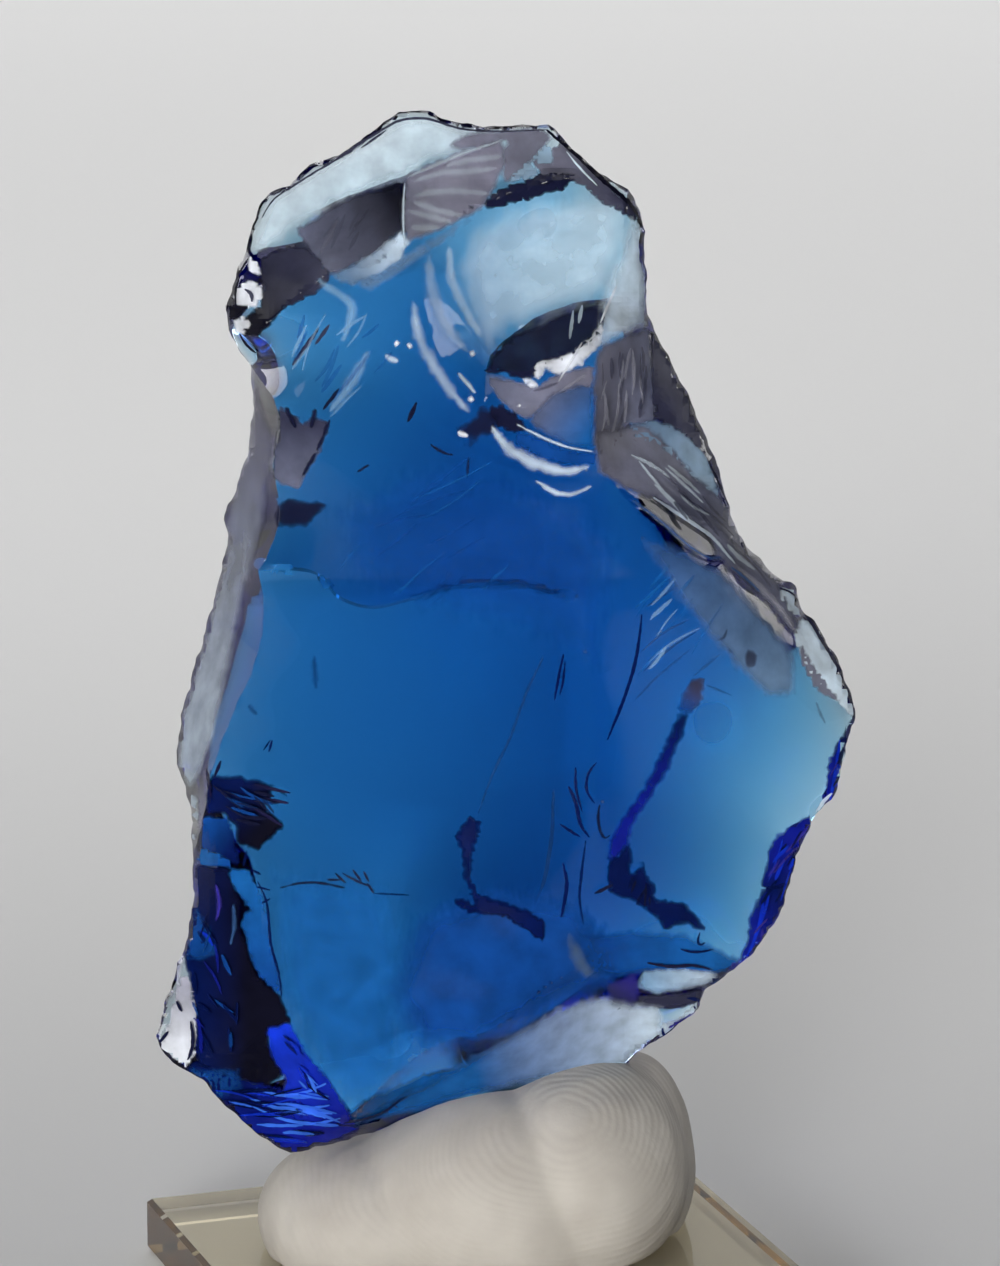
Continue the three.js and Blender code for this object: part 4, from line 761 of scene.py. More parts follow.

# Thin lines on and in the glass: cracks seen edge on, and painted sheens, glints and dark shade: depth under
# the surface in mm (0 lies just outside it), how much they cover, their width in mm, a colour, and a line of
# points for each.
PAINTED_STREAKS_AND_CRACKS = [
    # the fan: painted sheens on its ripples
    (0, 0.16, 0.75, "pale", [[(-4.5, 62.7), (-3.1, 63), (-1.7, 63), (-0.1, 62.8)], [(-4.8, 61.9),
        (-3.6, 61.6), (-2.2, 61.2)], [(-4.6, 63.5), (-2.7, 64.1), (-1, 64.1), (0.3, 64.3)], [(-2.7, 64.4),
        (-1, 64.8), (0.5, 64.9)], [(-4.5, 62.4), (-3.1, 61.9), (-1.7, 61.6)], [(-4.7, 61), (-3.8, 60.9),
        (-2.9, 61)]]),
    (0, 0.5, 0.3, "pale", [[(-4.9, 63.6), (-5, 62.2), (-5, 60.8), (-4.9, 59.7)]]),
    (0, 0.3, 0.35, "pale", [[(-4.9, 63.7), (-3.1, 64.5), (-1.7, 65.1), (0.4, 65.8)]]),
    # the brow
    (0, 1, 0.25, "black", [[(2.9, 66.4), (3.6, 65.8), (4.7, 64.9), (6.1, 63.5), (7.7, 62.2), (8.2, 61)]]),
    (0, 0.8, 0.12, "pale", [[(4, 65.2), (4.7, 64.3), (5.7, 63.3)]]),
    # the ear
    (0, 1, 0.18, "black", [[(-13.6, 59.2), (-14.1, 58.4), (-14.6, 57.7), (-14.8, 56.6), (-14.9, 55.7),
        (-14.6, 54.8), (-14.4, 53.9)]]),
    (0, 1, 0.22, "slate", [[(-13.8, 57.5), (-13.4, 57.5), (-13.2, 57.1), (-13.4, 56.8)]]),
    (0, 1, 0.15, "black", [[(-14.1, 55), (-13.8, 54.3), (-13.2, 53.9)]]),
    (0, 1, 0.12, "black", [[(-14.1, 58.1), (-14.4, 57.4), (-14.3, 56.6)]]),
    # the crown's edge
    (0, 0.8, 0.14, "slate", [[(-12.8, 61.5), (-12.3, 62.5), (-9.8, 64.1), (-8.4, 64.9), (-7.5, 65.6),
        (-6.3, 66.3), (-5.2, 67), (-3.6, 67.1), (-2.7, 66.7), (-1.7, 66.4), (0.4, 66.3), (2.9, 66.4)]]),
    (0, 0.8, 0.12, "slate", [[(-7.3, 65.4), (-6.6, 65.9), (-5.9, 66.4)]]),
    # below the lens: painted sheens on the ripples and painted white glints
    (0, 0.55, 1.1, "pale", [[(-0.2, 49.9), (0.3, 49), (1.1, 48.2), (2.6, 47.5), (4, 47.1), (5.5, 47.5)]]),
    (0, 0.65, 0.3, "pale", [[(1.2, 49.9), (2.7, 49.1), (4.2, 48.5), (5.6, 48.3)]]),
    (0, 0.6, 0.5, "pale", [[(2.3, 46.7), (3.4, 45.9), (4.5, 45.8), (5.5, 46.4)]]),
    (0, 0.45, 0.2, "pale", [[(4.2, 54.7), (4.4, 56.3)], [(4.7, 55.6), (4.9, 56.6)]]),
    (0, 0.5, 0.14, "white", [[(3.6, 52.3), (4.9, 54.5)], [(5.9, 55.6), (6.8, 57.7)]]),
    # painted pale and sky-blue sheens
    (0, 0.28, 1.1, "pale", [[(-4.5, 57), (-4.2, 54.8), (-3.5, 53.4), (-2.4, 51.8), (-1.3, 50.4)]]),
    (0, 0.28, 1, "pale", [[(-2.5, 60.1), (-2.4, 58.1), (-1.7, 56.5), (-0.6, 54.7)]]),
    (0, 0.25, 1.2, "pale", [[(-3.6, 59.5), (-3.5, 57.4), (-2.8, 55.6), (-1.3, 53.8)]]),
    (0, 0.42, 1, "sky", [[(-9.8, 58.1), (-7.7, 56.6), (-8.4, 54.5)], [(-6.9, 54.1), (-8.1, 51.9),
        (-9.2, 50.5)]]),
    (0, 0.7, 0.4, "pale", [[(-2, 52.8), (-1, 51.6)]]),
    # painted glints
    (0, 1, 0.59, "white", [[(-5.6, 54.5), (-5.2, 54.4)], [(-4.9, 54.3), (-4.5, 54.3)], [(-1.4, 53.9),
        (-1, 53.8)], [(-1.5, 51.3), (-1, 51.3)], [(-2.1, 49.4), (-1.4, 49.2)], [(1.3, 51), (1.6, 50.9)]]),
    (0, 0.5, 0.56, "pale", [[(-6.1, 53.8), (-5.7, 53.4), (-5.2, 53.4)]]),
    # the neck and the upper body
    (0, 1, 0.49, "ink", [[(-11, 49.6), (-11.6, 50.9)], [(-10.2, 49.6), (-9.9, 50.8)]]),
    (0, 1, 0.35, "ink", [[(-9.5, 49.2), (-9.1, 50.2)], [(-9.9, 48.3), (-9.4, 49.4)], [(-10.7, 46.9),
        (-9.9, 48.3)]]),
    (0, 0.9, 0.25, "slate", [[(-11.2, 53.2), (-10.4, 54.3), (-9.7, 55.3)]]),
    (0, 0.9, 0.2, "slate", [[(-9.9, 54.4), (-9.1, 55.5)]]),
    (0, 0.9, 0.2, "ink", [[(-9.5, 50.7), (-8.6, 51.9)]]),
    (0, 0.9, 0.3, "ink", [[(-2.2, 48.1), (-3, 48.2), (-3.6, 48.8)], [(-7.7, 47.1), (-6.9, 47.6)]]),
    (0, 0.9, 0.25, "ink", [[(-4.8, 50), (-4.3, 51.1)]]),
    (0, 0.6, 0.3, "ink", [[(-1.4, 48.1), (-1.5, 46.7)]]),
    # the arm
    (0, 0.8, 0.16, "ink", [[(11.9, 47.9), (12.8, 46), (13.3, 44.9), (14.2, 42.4)]]),
    (0, 0.7, 0.45, "slateblue", [[(7.5, 45.7), (9.3, 44.4), (10.9, 42.9), (12.3, 42), (12.8, 42.3)]]),
    (0, 0.5, 0.2, "pale", [[(8.9, 45.7), (10.4, 44.7), (12.2, 43.5), (13.5, 41.9)]]),
    # the thin edge
    (0, 1, 0.2, "ink", [[(16, 40.5), (17, 40.2), (17.2, 39.4), (17.7, 38.7), (18.4, 37.5), (19.4, 35.9),
        (20.2, 34), (20.4, 32.9)]]),
    (0, 0.5, 0.7, "greyer", [[(13.6, 41.7), (14.7, 40.8), (16.3, 39.1), (17, 37.8)]]),
    (0, 0.7, 0.15, "slateblue", [[(13.3, 41.7), (14.2, 41), (14.9, 40.3)]]),
    # the right band
    (0, 0.9, 0.2, "ultrabright", [[(19.5, 31.7), (19.3, 29.9), (19, 28.2)]]),
    (0, 0.8, 0.28, "ultrabright", [[(16.4, 26.1), (16, 24.5), (15.5, 23.3)]]),
    (0, 0.8, 0.2, "ultrabright", [[(15.3, 22.3), (15, 20.4), (14.4, 19)]]),
    (0, 0.9, 0.2, "pale", [[(19.1, 28.6), (18.6, 28.2), (18.2, 27.4)]]),
    # the heel
    (0, 1, 0.22, "ink", [[(5.7, 22.7), (6.2, 22.9), (6.7, 23.2)]]),
    (0, 0.9, 0.14, "navy", [[(10.6, 19.4), (11.4, 19.1), (12.5, 19.4)], [(11.7, 20.4), (11.4, 19.8),
        (11.7, 19.4), (12, 19.8)]]),
    (0, 1, 0.2, "ink", [[(8.7, 18.6), (9.9, 18.3), (11.5, 18.5), (12.3, 18.2)]]),
    (0, 1, 0.22, "navy", [[(9.6, 14.7), (9.5, 14.1), (10.4, 14), (11.1, 14.5)], [(10.6, 15.2), (10.8, 14.7),
        (11.6, 15.2), (11.8, 15.8), (11.4, 16)], [(11, 16.5), (12, 16.4), (12.2, 15.4)]]),
    (0, 1, 0.35, "violet", [[(9.9, 14.7), (10.6, 15), (11.3, 15.6)]]),
    (0, 0.8, 0.12, "slate", [[(8.2, 12.7), (9.7, 13.7), (10.8, 14.3)]]),
    # the right face
    (0, 1, 0.2, "navy", [[(8.3, 39), (8.2, 37.8), (7.9, 35.9), (7.3, 34), (6.4, 31.7)]]),
    (0.4, 0.3, 0.14, "sky", [[(8.5, 39.4), (9.8, 40.3), (11.1, 41.3)], [(8.2, 36.8), (9.5, 38),
        (10.9, 38.7)], [(8.4, 35.7), (10, 37.2), (11.3, 38)]]),
    (0.4, 0.3, 0.3, "sky", [[(7.7, 33.8), (9.1, 35.4), (11.1, 37.1)], [(11.1, 35.4), (12.7, 36.8)],
        [(11.8, 35), (13.4, 34.3)]]),
    (0, 0.3, 0.3, "ink", [[(13.1, 38.2), (13, 37.4), (12.5, 37.5)], [(13.1, 37.1), (13.4, 36.7)]]),
    (0, 0.3, 0.3, "slate", [[(18.1, 34), (18.4, 33.1), (18.7, 32.6)]]),
    # beside the keel
    (0, 1, 0.22, "navy", [[(4.2, 29), (4.7, 28), (4.8, 26.7), (5.4, 26)]]),
    (0, 1, 0.16, "navy", [[(5.8, 30.4), (5.3, 29.9), (5.1, 28.7), (5.7, 28)]]),
    (0, 1, 0.3, "ink", [[(6, 28), (5.8, 26.9), (6.3, 25.6), (6.6, 26.2)]]),
    (0, 1, 0.16, "navy", [[(3.7, 26.8), (4.4, 26.3), (4.9, 26)]]),
    (0, 1, 0.28, "navy", [[(5.2, 25.9), (5, 24.2), (4.8, 22.3), (5.1, 20.8)]]),
    (0, 1, 0.22, "navy", [[(3.9, 24.5), (4.2, 23.3), (4, 22.1), (3.8, 21.3)]]),
    (0, 1, 0.16, "navy", [[(4.6, 30.1), (4.6, 28.7), (5, 27.5)]]),
    (0, 1, 0.14, "navy", [[(4, 36.3), (3.9, 35), (3.7, 34.3)]]),
    (0.3, 0.9, 0.3, "white", [[(5.9, 28.2), (6.3, 28)], [(5, 36.9), (5.3, 36.8)], [(7.5, 21.5),
        (7.7, 21.5)]]),
    # the body
    (0.5, 0.35, 0.35, "sky", [[(-0.9, 27.3), (-0.2, 29.4), (0.9, 31.7), (1.9, 34.6), (3, 36.9)]]),
    (0.5, 0.3, 0.25, "sky", [[(3.4, 28.8), (3.3, 25.9), (2.9, 23.5), (2.3, 22)]]),
    (0, 1, 0.16, "navy", [[(3.9, 36.7), (3.6, 35.2), (3.4, 34)]]),
    (0, 0.3, 0.6, "navy", [[(-10.1, 36.7), (-10, 34.6)], [(-13.9, 33.8), (-13.3, 33.1)]]),
    # the hip
    (0, 1, 0.14, "navy", [[(-12.5, 31.7), (-12.7, 31)]]),
    (0, 1, 0.2, "plum", [[(-13.6, 29.1), (-11.5, 28.6)], [(-13.1, 28.3), (-11.6, 28)], [(-13.8, 27.9),
        (-12, 26.7)], [(-15.8, 29.5), (-15.4, 30.5)], [(-16, 28.3), (-16.2, 30)]]),
    # the lower left corner
    (0, 0.9, 0.2, "ultrabright", [[(-16.7, 20.5), (-16.1, 20.1), (-16, 19.6)]]),
    (0, 0.8, 0.45, "violet", [[(-15.8, 23.3), (-15.5, 22.1), (-15.8, 21)]]),
    (0, 0.6, 0.4, "slateblue", [[(-14.8, 22.1), (-14.7, 20.7), (-15, 19.6)]]),
    (0, 0.8, 0.2, "ripple", [[(-13.6, 11.1), (-12.3, 10.6), (-10.8, 10.8), (-9.6, 11.4)], [(-14.1, 10.6),
        (-12.6, 9.9), (-10.9, 9.8), (-9.4, 10.1)], [(-13.8, 10), (-12.1, 9.2), (-10.3, 8.9), (-8.8, 9.3)]]),
    # the chip
    (0, 1, 0.2, "ink", [[(-18.6, 14.5), (-19.2, 13.7)], [(-19.1, 13.3), (-18.6, 12.5), (-18.1, 12)],
        [(-17.3, 15.1), (-17.1, 13.7), (-17.5, 12.8)], [(-18.1, 16.3), (-17.8, 15.7)]]),
    # beside the corner, and a few marks elsewhere
    (0, 1, 0.26, "ink", [[(-12.2, 23), (-11.2, 23.3), (-10.2, 23.4), (-9.2, 23.2), (-8.4, 23)]]),
    (0, 1, 0.14, "ink", [[(-9, 23.9), (-8.4, 23.3)], [(-8.6, 23.9), (-7.8, 23.4), (-7, 23.1)], [(-8, 24.1),
        (-7.5, 23.4)], [(-9.5, 23.5), (-8.7, 23.5)], [(-7.4, 24), (-7.1, 23.4)], [(-7.2, 23.3),
        (-6.8, 22.7)]]),
    (0, 0.6, 0.12, "navy", [[(-6.8, 22.7), (-4.8, 22.6)]]),
    (0, 0.8, 0.16, "navy", [[(-13.4, 23.4), (-12.9, 22.4), (-12.8, 21.4), (-12.7, 19.6), (-12.2, 17.9),
        (-12.1, 16.6)]]),
    (0, 0.8, 0.14, "navy", [[(-14, 25.2), (-14.2, 24.3)], [(-13.7, 24.1), (-13.2, 23.8)], [(-13.5, 23.1),
        (-12.7, 22.9)], [(-13.2, 22.1), (-12.7, 22.4)]]),
    (0, 0.9, 0.16, "navy", [[(-8.6, 9), (-7.1, 9.3), (-5.9, 9.8), (-5.5, 10.5), (-5, 10.6)]]),
    (0, 0.9, 0.12, "navy", [[(-12.6, 31.7), (-13, 31.1)]]),
]

# Scattered fine ripples, painted as streaks of their sheen and shade: cover, width and length in mm, slope
# in degrees and how much it varies, number, colours, and the outline they lie in.
PAINTED_RIPPLES = [
    (0.8, 0.2, 2.4, -3, 7, 46, ("ripple", "navy", "ultrabright", "ripple", "navy"), [(-16.4, 11),
        (-13.6, 11.2), (-12, 10.9), (-10.6, 12.2), (-9.3, 10.6), (-8.4, 9), (-11.4, 7.2), (-14.6, 9)]),
    (0.7, 0.2, 1.6, 100, 16, 20, ("navy", "ultra", "navy", "deep"), [(-16.9, 23.6), (-15, 23.6),
        (-14.6, 20.6), (-14.3, 16), (-15, 13), (-16.9, 13), (-17.3, 17)]),
    (0.8, 0.17, 1.1, -58, 16, 14, ("ultrabright", "navy", "ripple"), [(-12.6, 14.2), (-11.6, 14.4),
        (-9, 10.2), (-11.2, 10.6)]),
    (0.85, 0.2, 1.3, 62, 14, 26, ("navy", "ultrabright", "violet", "navy"), [(18.6, 27), (17.6, 26.6),
        (16.2, 25.8), (15.6, 24), (14.6, 20.4), (14, 18.6), (15.4, 20), (16.6, 22.8)]),
    (0.9, 0.18, 1.2, 84, 12, 10, ("navy", "violet", "ultrabright"), [(20.2, 32.4), (20, 29.6), (19.2, 28),
        (18.9, 30)]),
    (0.15, 0.3, 2.2, 58, 5, 16, ("ink", "grey", "ink"), [(-9.6, 59), (-6, 60), (-5.2, 62.8), (-8, 62),
        (-10.4, 60.4)]),
    (0.3, 0.3, 2, 36, 5, 12, ("greyer", "slate", "pale"), [(0, 52.3), (2.6, 51.6), (5.2, 51), (5.4, 53),
        (2, 52)]),
    (0.4, 0.18, 1.8, 82, 8, 22, ("slate", "greyer"), [(5.9, 53.6), (8.4, 54.6), (8.8, 50.4), (7.4, 49.9),
        (5.9, 48.4)]),
    (0.45, 0.2, 2.2, -42, 10, 18, ("slate", "pale"), [(6, 48.8), (10, 47.8), (12.8, 45), (16.4, 39.2),
        (12.4, 43), (8, 46.4)]),
    (0.6, 0.2, 1.4, -24, 14, 22, ("ink", "deep", "ink"), [(-16, 29.2), (-12, 28.6), (-12.4, 26.8),
        (-14.4, 26.4)]),
    (0.6, 0.16, 1.1, 70, 20, 14, ("ink", "navy"), [(7, 24.6), (9, 23), (11, 21.4), (8, 22)]),
    (0.3, 0.22, 2.6, 55, 9, 18, ("deep", "sky", "deep"), [(-12, 56), (-7, 57), (-5, 53), (-9, 50),
        (-11, 52)]),
    (0.3, 0.2, 2.4, 52, 9, 16, ("sky", "azure"), [(7.4, 35), (13, 37), (14, 40), (9.6, 42), (7.6, 39)]),
    (0.25, 0.25, 3, 40, 12, 16, ("azure", "deep"), [(-9, 46), (-2, 50), (4, 44), (-2, 39), (-9, 40)]),
]

SHEET_HALF = 0.01              # half a sheet's thickness, in mm
LIFT = 0.04                    # how far outside the glass the first sheet lies, in mm ...
LIFT_STEP = 0.002              # ... and how much further out each later one lies, so none coincide
SHEET_GRID = (0.32, 0.28)      # from one point inside a sheet to the next, across and up, in mm
EDGE_STEP = 0.24               # from one point of a sheet's edge to the next, in mm
SEAM_STEP = 0.2                # from one point of a seam's line to the next, in mm
FAR_ENOUGH = 14                # the rays that place the sheets start and end this far from the middle, in mm


def seam_outline(width, line):
    """A long thin outline about a line of points, tapering to its ends, and the smoothed line."""
    p = np.array(line, float)
    steps = [p[0]]
    for a, b in zip(p, p[1:]):
        n = max(1, int(round(np.linalg.norm(b - a) / SEAM_STEP)))
        steps += [a + (b - a) * i / n for i in range(1, n + 1)]
    p = np.array(steps)
    for _ in range(12):
        p[1:-1] = (p[:-2] + 2 * p[1:-1] + p[2:]) / 4
    along = np.gradient(p, axis=0)
    length = np.maximum(np.linalg.norm(along, axis=1), 1e-6)
    across = np.stack([-along[:, 1], along[:, 0]], 1) / length[:, None]
    taper = np.sqrt(np.sin(np.linspace(0.12, math.pi - 0.12, len(p))))
    half = across * (taper * width / 2)[:, None]
    return [tuple(v) for v in np.concatenate([p + half, (p - half)[::-1]])], p[1:-1]


def ragged_ring(outline, ragged, grow, rng):
    """The outline in small steps, moved outward by `grow` and unevenly by up to `ragged`."""
    sides = list(zip(outline, outline[1:] + outline[:1]))
    turn = 1 if sum(a[0] * b[1] - b[0] * a[1] for a, b in sides) > 0 else -1
    ring = []
    for a, b in sides:
        a, b = np.array(a, float), np.array(b, float)
        n = max(1, int(round(np.linalg.norm(b - a) / EDGE_STEP)))
        side = np.array((b[1] - a[1], a[0] - b[0])) / max(np.linalg.norm(b - a), 1e-6)
        for i in range(n):
            ring.append(a + (b - a) * i / n + side * turn * (grow + rng.uniform(-ragged, ragged)))
    return np.array(ring)


def thin_sheet(outline, ragged, grow, spine, seed):
    """Points (x, height), their distances from the edge, and triangles of a thin sheet."""
    rng = np.random.default_rng(seed)
    ring = ragged_ring(outline, ragged, grow, rng)
    lo, hi = ring.min(0), ring.max(0)
    gx, gh = np.meshgrid(np.arange(lo[0], hi[0], SHEET_GRID[0]), np.arange(lo[1], hi[1], SHEET_GRID[1]))
    cloud = np.stack([gx.ravel(), gh.ravel()], 1)
    cloud = cloud + rng.uniform(-0.03, 0.03, cloud.shape)
    cloud = cloud[inside(cloud, ring)]
    if len(spine):
        cloud = np.array(spine)
    clear = np.sqrt(((cloud[:, None] - ring[None]) ** 2).sum(2)).min(1) if len(cloud) else np.zeros(0)
    cloud = cloud[clear > 0.05]
    count = len(ring)
    spots = [Vector(p) for p in ring] + [Vector(p) for p in cloud]
    border = [(i, (i + 1) % count) for i in range(count)]
    verts, _, tris, _, _, _ = delaunay_2d_cdt(spots, border, [], 1, 1e-6, False)
    flat = np.array([tuple(v) for v in verts])
    tris = np.array(tris)
    tris = tris[inside(flat[tris].mean(1), ring)]
    gap = np.array([np.sqrt(((ring - p) ** 2).sum(1)).min() for p in flat])
    return flat, gap, tris


def ripple_streaks():
    """The ripples' painted streaks, in the same form as the streaks and cracks."""
    rng = np.random.default_rng(9)
    out = []
    for cover, width, length, slope, vary, count, colours, outline in PAINTED_RIPPLES:
        ring = np.array(outline, float)
        lo, hi = ring.min(0), ring.max(0)
        found = 0
        while found < count:
            spot = rng.uniform(lo, hi)
            if not inside(spot[None], ring)[0]:
                continue
            turn = math.radians(slope + rng.normal(0, vary))
            reach = length * rng.uniform(0.3, 0.8)
            along = np.array((math.cos(turn), math.sin(turn))) * reach
            across = np.array((-along[1], along[0])) * rng.uniform(-0.25, 0.3)
            line = (spot - along, spot - along * 0.3 - across * 0.6,
                    spot + along * 0.35 - across * 0.5, spot + along)
            line = [tuple(p) for p in line if inside(np.array([p]), ring)[0]]
            if len(line) > 2:
                cover_here = cover * rng.uniform(0.6, 1)
                width_here = width * rng.uniform(0.5, 1.3)
                out.append((0, cover_here, width_here, colours[found % len(colours)], line))
            found += 1
    return out


def blend_colours(colours, flat):
    """The colour of each point: one colour, or a change from one to another between two places."""
    if isinstance(colours, str):
        return np.tile(PALETTE[colours], (len(flat), 1))
    first, second, start, end = colours
    run = np.array(end) - np.array(start)
    t = np.clip((flat - start) @ run / (run @ run), 0, 1)[:, None]
    return (1 - t) * np.array(PALETTE[first]) + t * np.array(PALETTE[second])


def all_sheets():
    """Painted sheets, streaks and cracks, and ripple streaks alike: depth, cover, softness, colours, and the
    shape for thin_sheet.
    """
    for cover, soft, colours, outline in PAINTED_SHEETS:
        yield 0, cover, soft, colours, (outline, 0.07, 0.1 + 0.3 * soft, ())
    streak_lines = [(*look, line) for *look, lines in PAINTED_STREAKS_AND_CRACKS for line in lines]
    for under, cover, width, colours, line in streak_lines + ripple_streaks():
        outline, spine = seam_outline(width, line)
        soft = 0.3 * width if width > 0.25 else 0
        yield under, cover, soft, colours, (outline, 0.1 * width, 0, spine)


def laid_on(surface, flat, offset):
    """The near and far points of a sheet laid along the glass, and which of its points miss the glass."""
    near, far, missed = [], [], set()
    for i, p in enumerate(flat):
        start, end = place(*p, -FAR_ENOUGH) * MM, place(*p, FAR_ENOUGH) * MM
        ray = (end - start) / np.linalg.norm(end - start)
        hit = surface.ray_cast(Vector(start), Vector(ray))[0]
        if hit is None:
            missed.add(i)
            hit = Vector(place(*p, 0) * MM)
        near.append(np.array(hit) + ray * (offset - SHEET_HALF) * MM)
        far.append(np.array(hit) + ray * (offset + SHEET_HALF) * MM)
    return near, far, missed


def cracks_and_painted_light_mesh(glass):
    """All the painted sheets, streaks and cracks as one mesh of thin closed bodies, with a tint, cover and
    fade at every point.
    """
    surface = BVHTree.FromPolygons([v.co for v in glass.vertices], [p.vertices for p in glass.polygons])
    points, faces, tints, covers, fades = [], [], [], [], []
    for number, (under, cover, soft, colours, shape) in enumerate(all_sheets()):
        flat, gap, tris = thin_sheet(*shape, 100 + number)
        near, far, missed = laid_on(surface, flat, under if under else -LIFT - LIFT_STEP * number)
        base, count = len(points), len(flat)
        borders = Counter()
        for tri in tris:
            area = turned_area(tri, flat)
            if missed & set(tri.tolist()) or abs(area) < 1e-5:
                continue
            i, j, k = (base + int(t) for t in (tri if area > 0 else tri[::-1]))
            faces += [(i, j, k), (k + count, j + count, i + count)]
            borders.update([(i, j), (j, k), (k, i)])
        faces += [(j, i, i + count, j + count) for i, j in borders if (j, i) not in borders]
        points += near + far
        tints += list(blend_colours(colours, flat)) * 2
        covers += [cover] * (2 * count)
        fades += list(np.clip(gap / soft, 0, 1) if soft else np.ones(count)) * 2
    mesh = bpy.data.meshes.new("cracks_and_painted_light_mesh")
    mesh.from_pydata(points, [], faces)
    for name, values in (("cover", covers), ("fade", fades)):
        mesh.attributes.new(name, "FLOAT", "POINT").data.foreach_set("value", values)
    rgba = np.concatenate([np.array(tints), np.ones((len(tints), 1))], 1).ravel()
    mesh.attributes.new("tint", "FLOAT_COLOR", "POINT").data.foreach_set("color", rgba)
    bm = bmesh.new()
    bm.from_mesh(mesh)
    bmesh.ops.delete(bm, geom=[v for v in bm.verts if not v.link_faces], context="VERTS")
    bm.to_mesh(mesh)
    bm.free()
    mesh.update()
    return mesh


# ---------------------------------------------------------------- the putty's shape

PLATE_TOP = 3.175              # thickness of the acrylic base, in mm
PUTTY_GRID = 0.26      # spacing of the putty's mesh, in mm
RIDGE_PITCH = 0.43             # from one finger ridge to the next, in mm
SEAT_GAP = 0.05                # between the crystal's foot and the putty around it, in mm
LUMPS = [                      # centre and radii of each lump in mm, and its turn about Z in degrees
    ((-7, 1.5, 5), (6.4, 6.6, 4.8), 8),
    ((-0.5, 1.4, 6), (8.2, 7.4, 6.6), 0),
    ((4.8, 3.2, 7.2), (6.2, 8, 6.8), -10),
    ((8, 7, 6.8), (3.4, 5.6, 6), 12),
]


def putty_mesh(seat):
    """The lumps run together and smoothed, flat on the base, with the crystal's foot pressed in."""
    bm = bmesh.new()
    for centre, radii, turn in LUMPS:
        turned = Matrix.Translation(centre) @ Matrix.Rotation(math.radians(turn), 4, "Z")
        stretched = turned @ Matrix.Diagonal((*radii, 1))
        bmesh.ops.create_icosphere(bm, subdivisions=5, radius=1, matrix=stretched)
    mesh = bpy.data.meshes.new("putty_mesh")
    bm.to_mesh(mesh)
    bm.free()
    mesh.transform(Matrix.Scale(MM, 4))
    body = new_object("putty_work", mesh)
    remesh = body.modifiers.new("remesh", "REMESH")
    remesh.mode = "VOXEL"
    remesh.voxel_size = PUTTY_GRID * MM
    smooth = body.modifiers.new("smooth", "SMOOTH")
    smooth.factor = 0.5
    smooth.iterations = 12
    body.data = applied(body)
    shape_putty(body.data)
    cutter = new_object("seat_work", seat)
    set_vector(seat, "co", get_vector(seat, "co") + SEAT_GAP * MM * get_vector(seat, "normal"))
    cut = body.modifiers.new("cut", "BOOLEAN")
    cut.operation = "DIFFERENCE"
    cut.solver = "MANIFOLD"
    cut.object = cutter
    done = applied(body)
    for obj in (body, cutter):
        bpy.data.objects.remove(obj)
    for polygon in done.polygons:
        polygon.use_smooth = True
    done.set_sharp_from_angle(angle=math.radians(50))
    done.name = "putty_mesh"
    return done


def applied(obj):
    """A mesh with the object's modifiers worked in; the modifiers are taken off."""
    graph = bpy.context.evaluated_depsgraph_get()
    mesh = bpy.data.meshes.new_from_object(obj.evaluated_get(graph))
    obj.modifiers.clear()
    return mesh


def get_vector(mesh, name):
    """The place ("co") or the normal of every point, as rows of three."""
    values = np.empty(len(mesh.vertices) * 3)
    mesh.vertices.foreach_get(name, values)
    return values.reshape(-1, 3)


def set_vector(mesh, name, values):
    """Give every point its place from rows of three."""
    mesh.vertices.foreach_set(name, values.ravel())
    mesh.update()


def shape_putty(mesh):
    """Low swells and small dents over the putty, and the flat underside."""
    p = get_vector(mesh, "co") / MM
    swells = 0.12 * waves(p[:, [0, 2]] + 0.6 * p[:, [1]], 5, 41)
    dents = 0.03 * waves(p[:, [0, 2]] - p[:, [1]], 1.6, 42)
    p = p + get_vector(mesh, "normal") * (swells + dents)[:, None]
    p[:, 2] = np.maximum(p[:, 2], PLATE_TOP + 0.01)
    set_vector(mesh, "co", p * MM)


# ---------------------------------------------------------------- materials

def feed(tree, node, inputs):
    """Set each input of a node to a constant, or link it to another node's output."""
    for name, value in inputs.items():
        if isinstance(value, bpy.types.NodeSocket):
            tree.links.new(value, node.inputs[name])
        else:
            node.inputs[name].default_value = value
    return node


def add(tree, kind, inputs, **settings):
    """A new shader node with its settings and inputs."""
    node = tree.nodes.new("ShaderNode" + kind)
    for name, value in settings.items():
        setattr(node, name, value)
    return feed(tree, node, inputs)


def material(name, inputs):
    """A new material, its node tree, and its Principled shader with the inputs given."""
    mat = bpy.data.materials.new(name)
    mat.use_nodes = True
    tree = mat.node_tree
    return mat, tree, feed(tree, tree.nodes["Principled BSDF"], inputs)


def clear_material(name, roughness, ior, color, density):
    """Clear glass or plastic that takes up some light on its way through."""
    mat, tree, _ = material(name, {"Base Color": (1, 1, 1, 1), "Roughness": roughness, "IOR": ior,
                                   "Transmission Weight": 1.0})
    absorb = add(tree, "VolumeAbsorption", {"Color": (*color, 1), "Density": density})
    feed(tree, tree.nodes["Material Output"], {"Volume": absorb.outputs["Volume"]})
    return mat


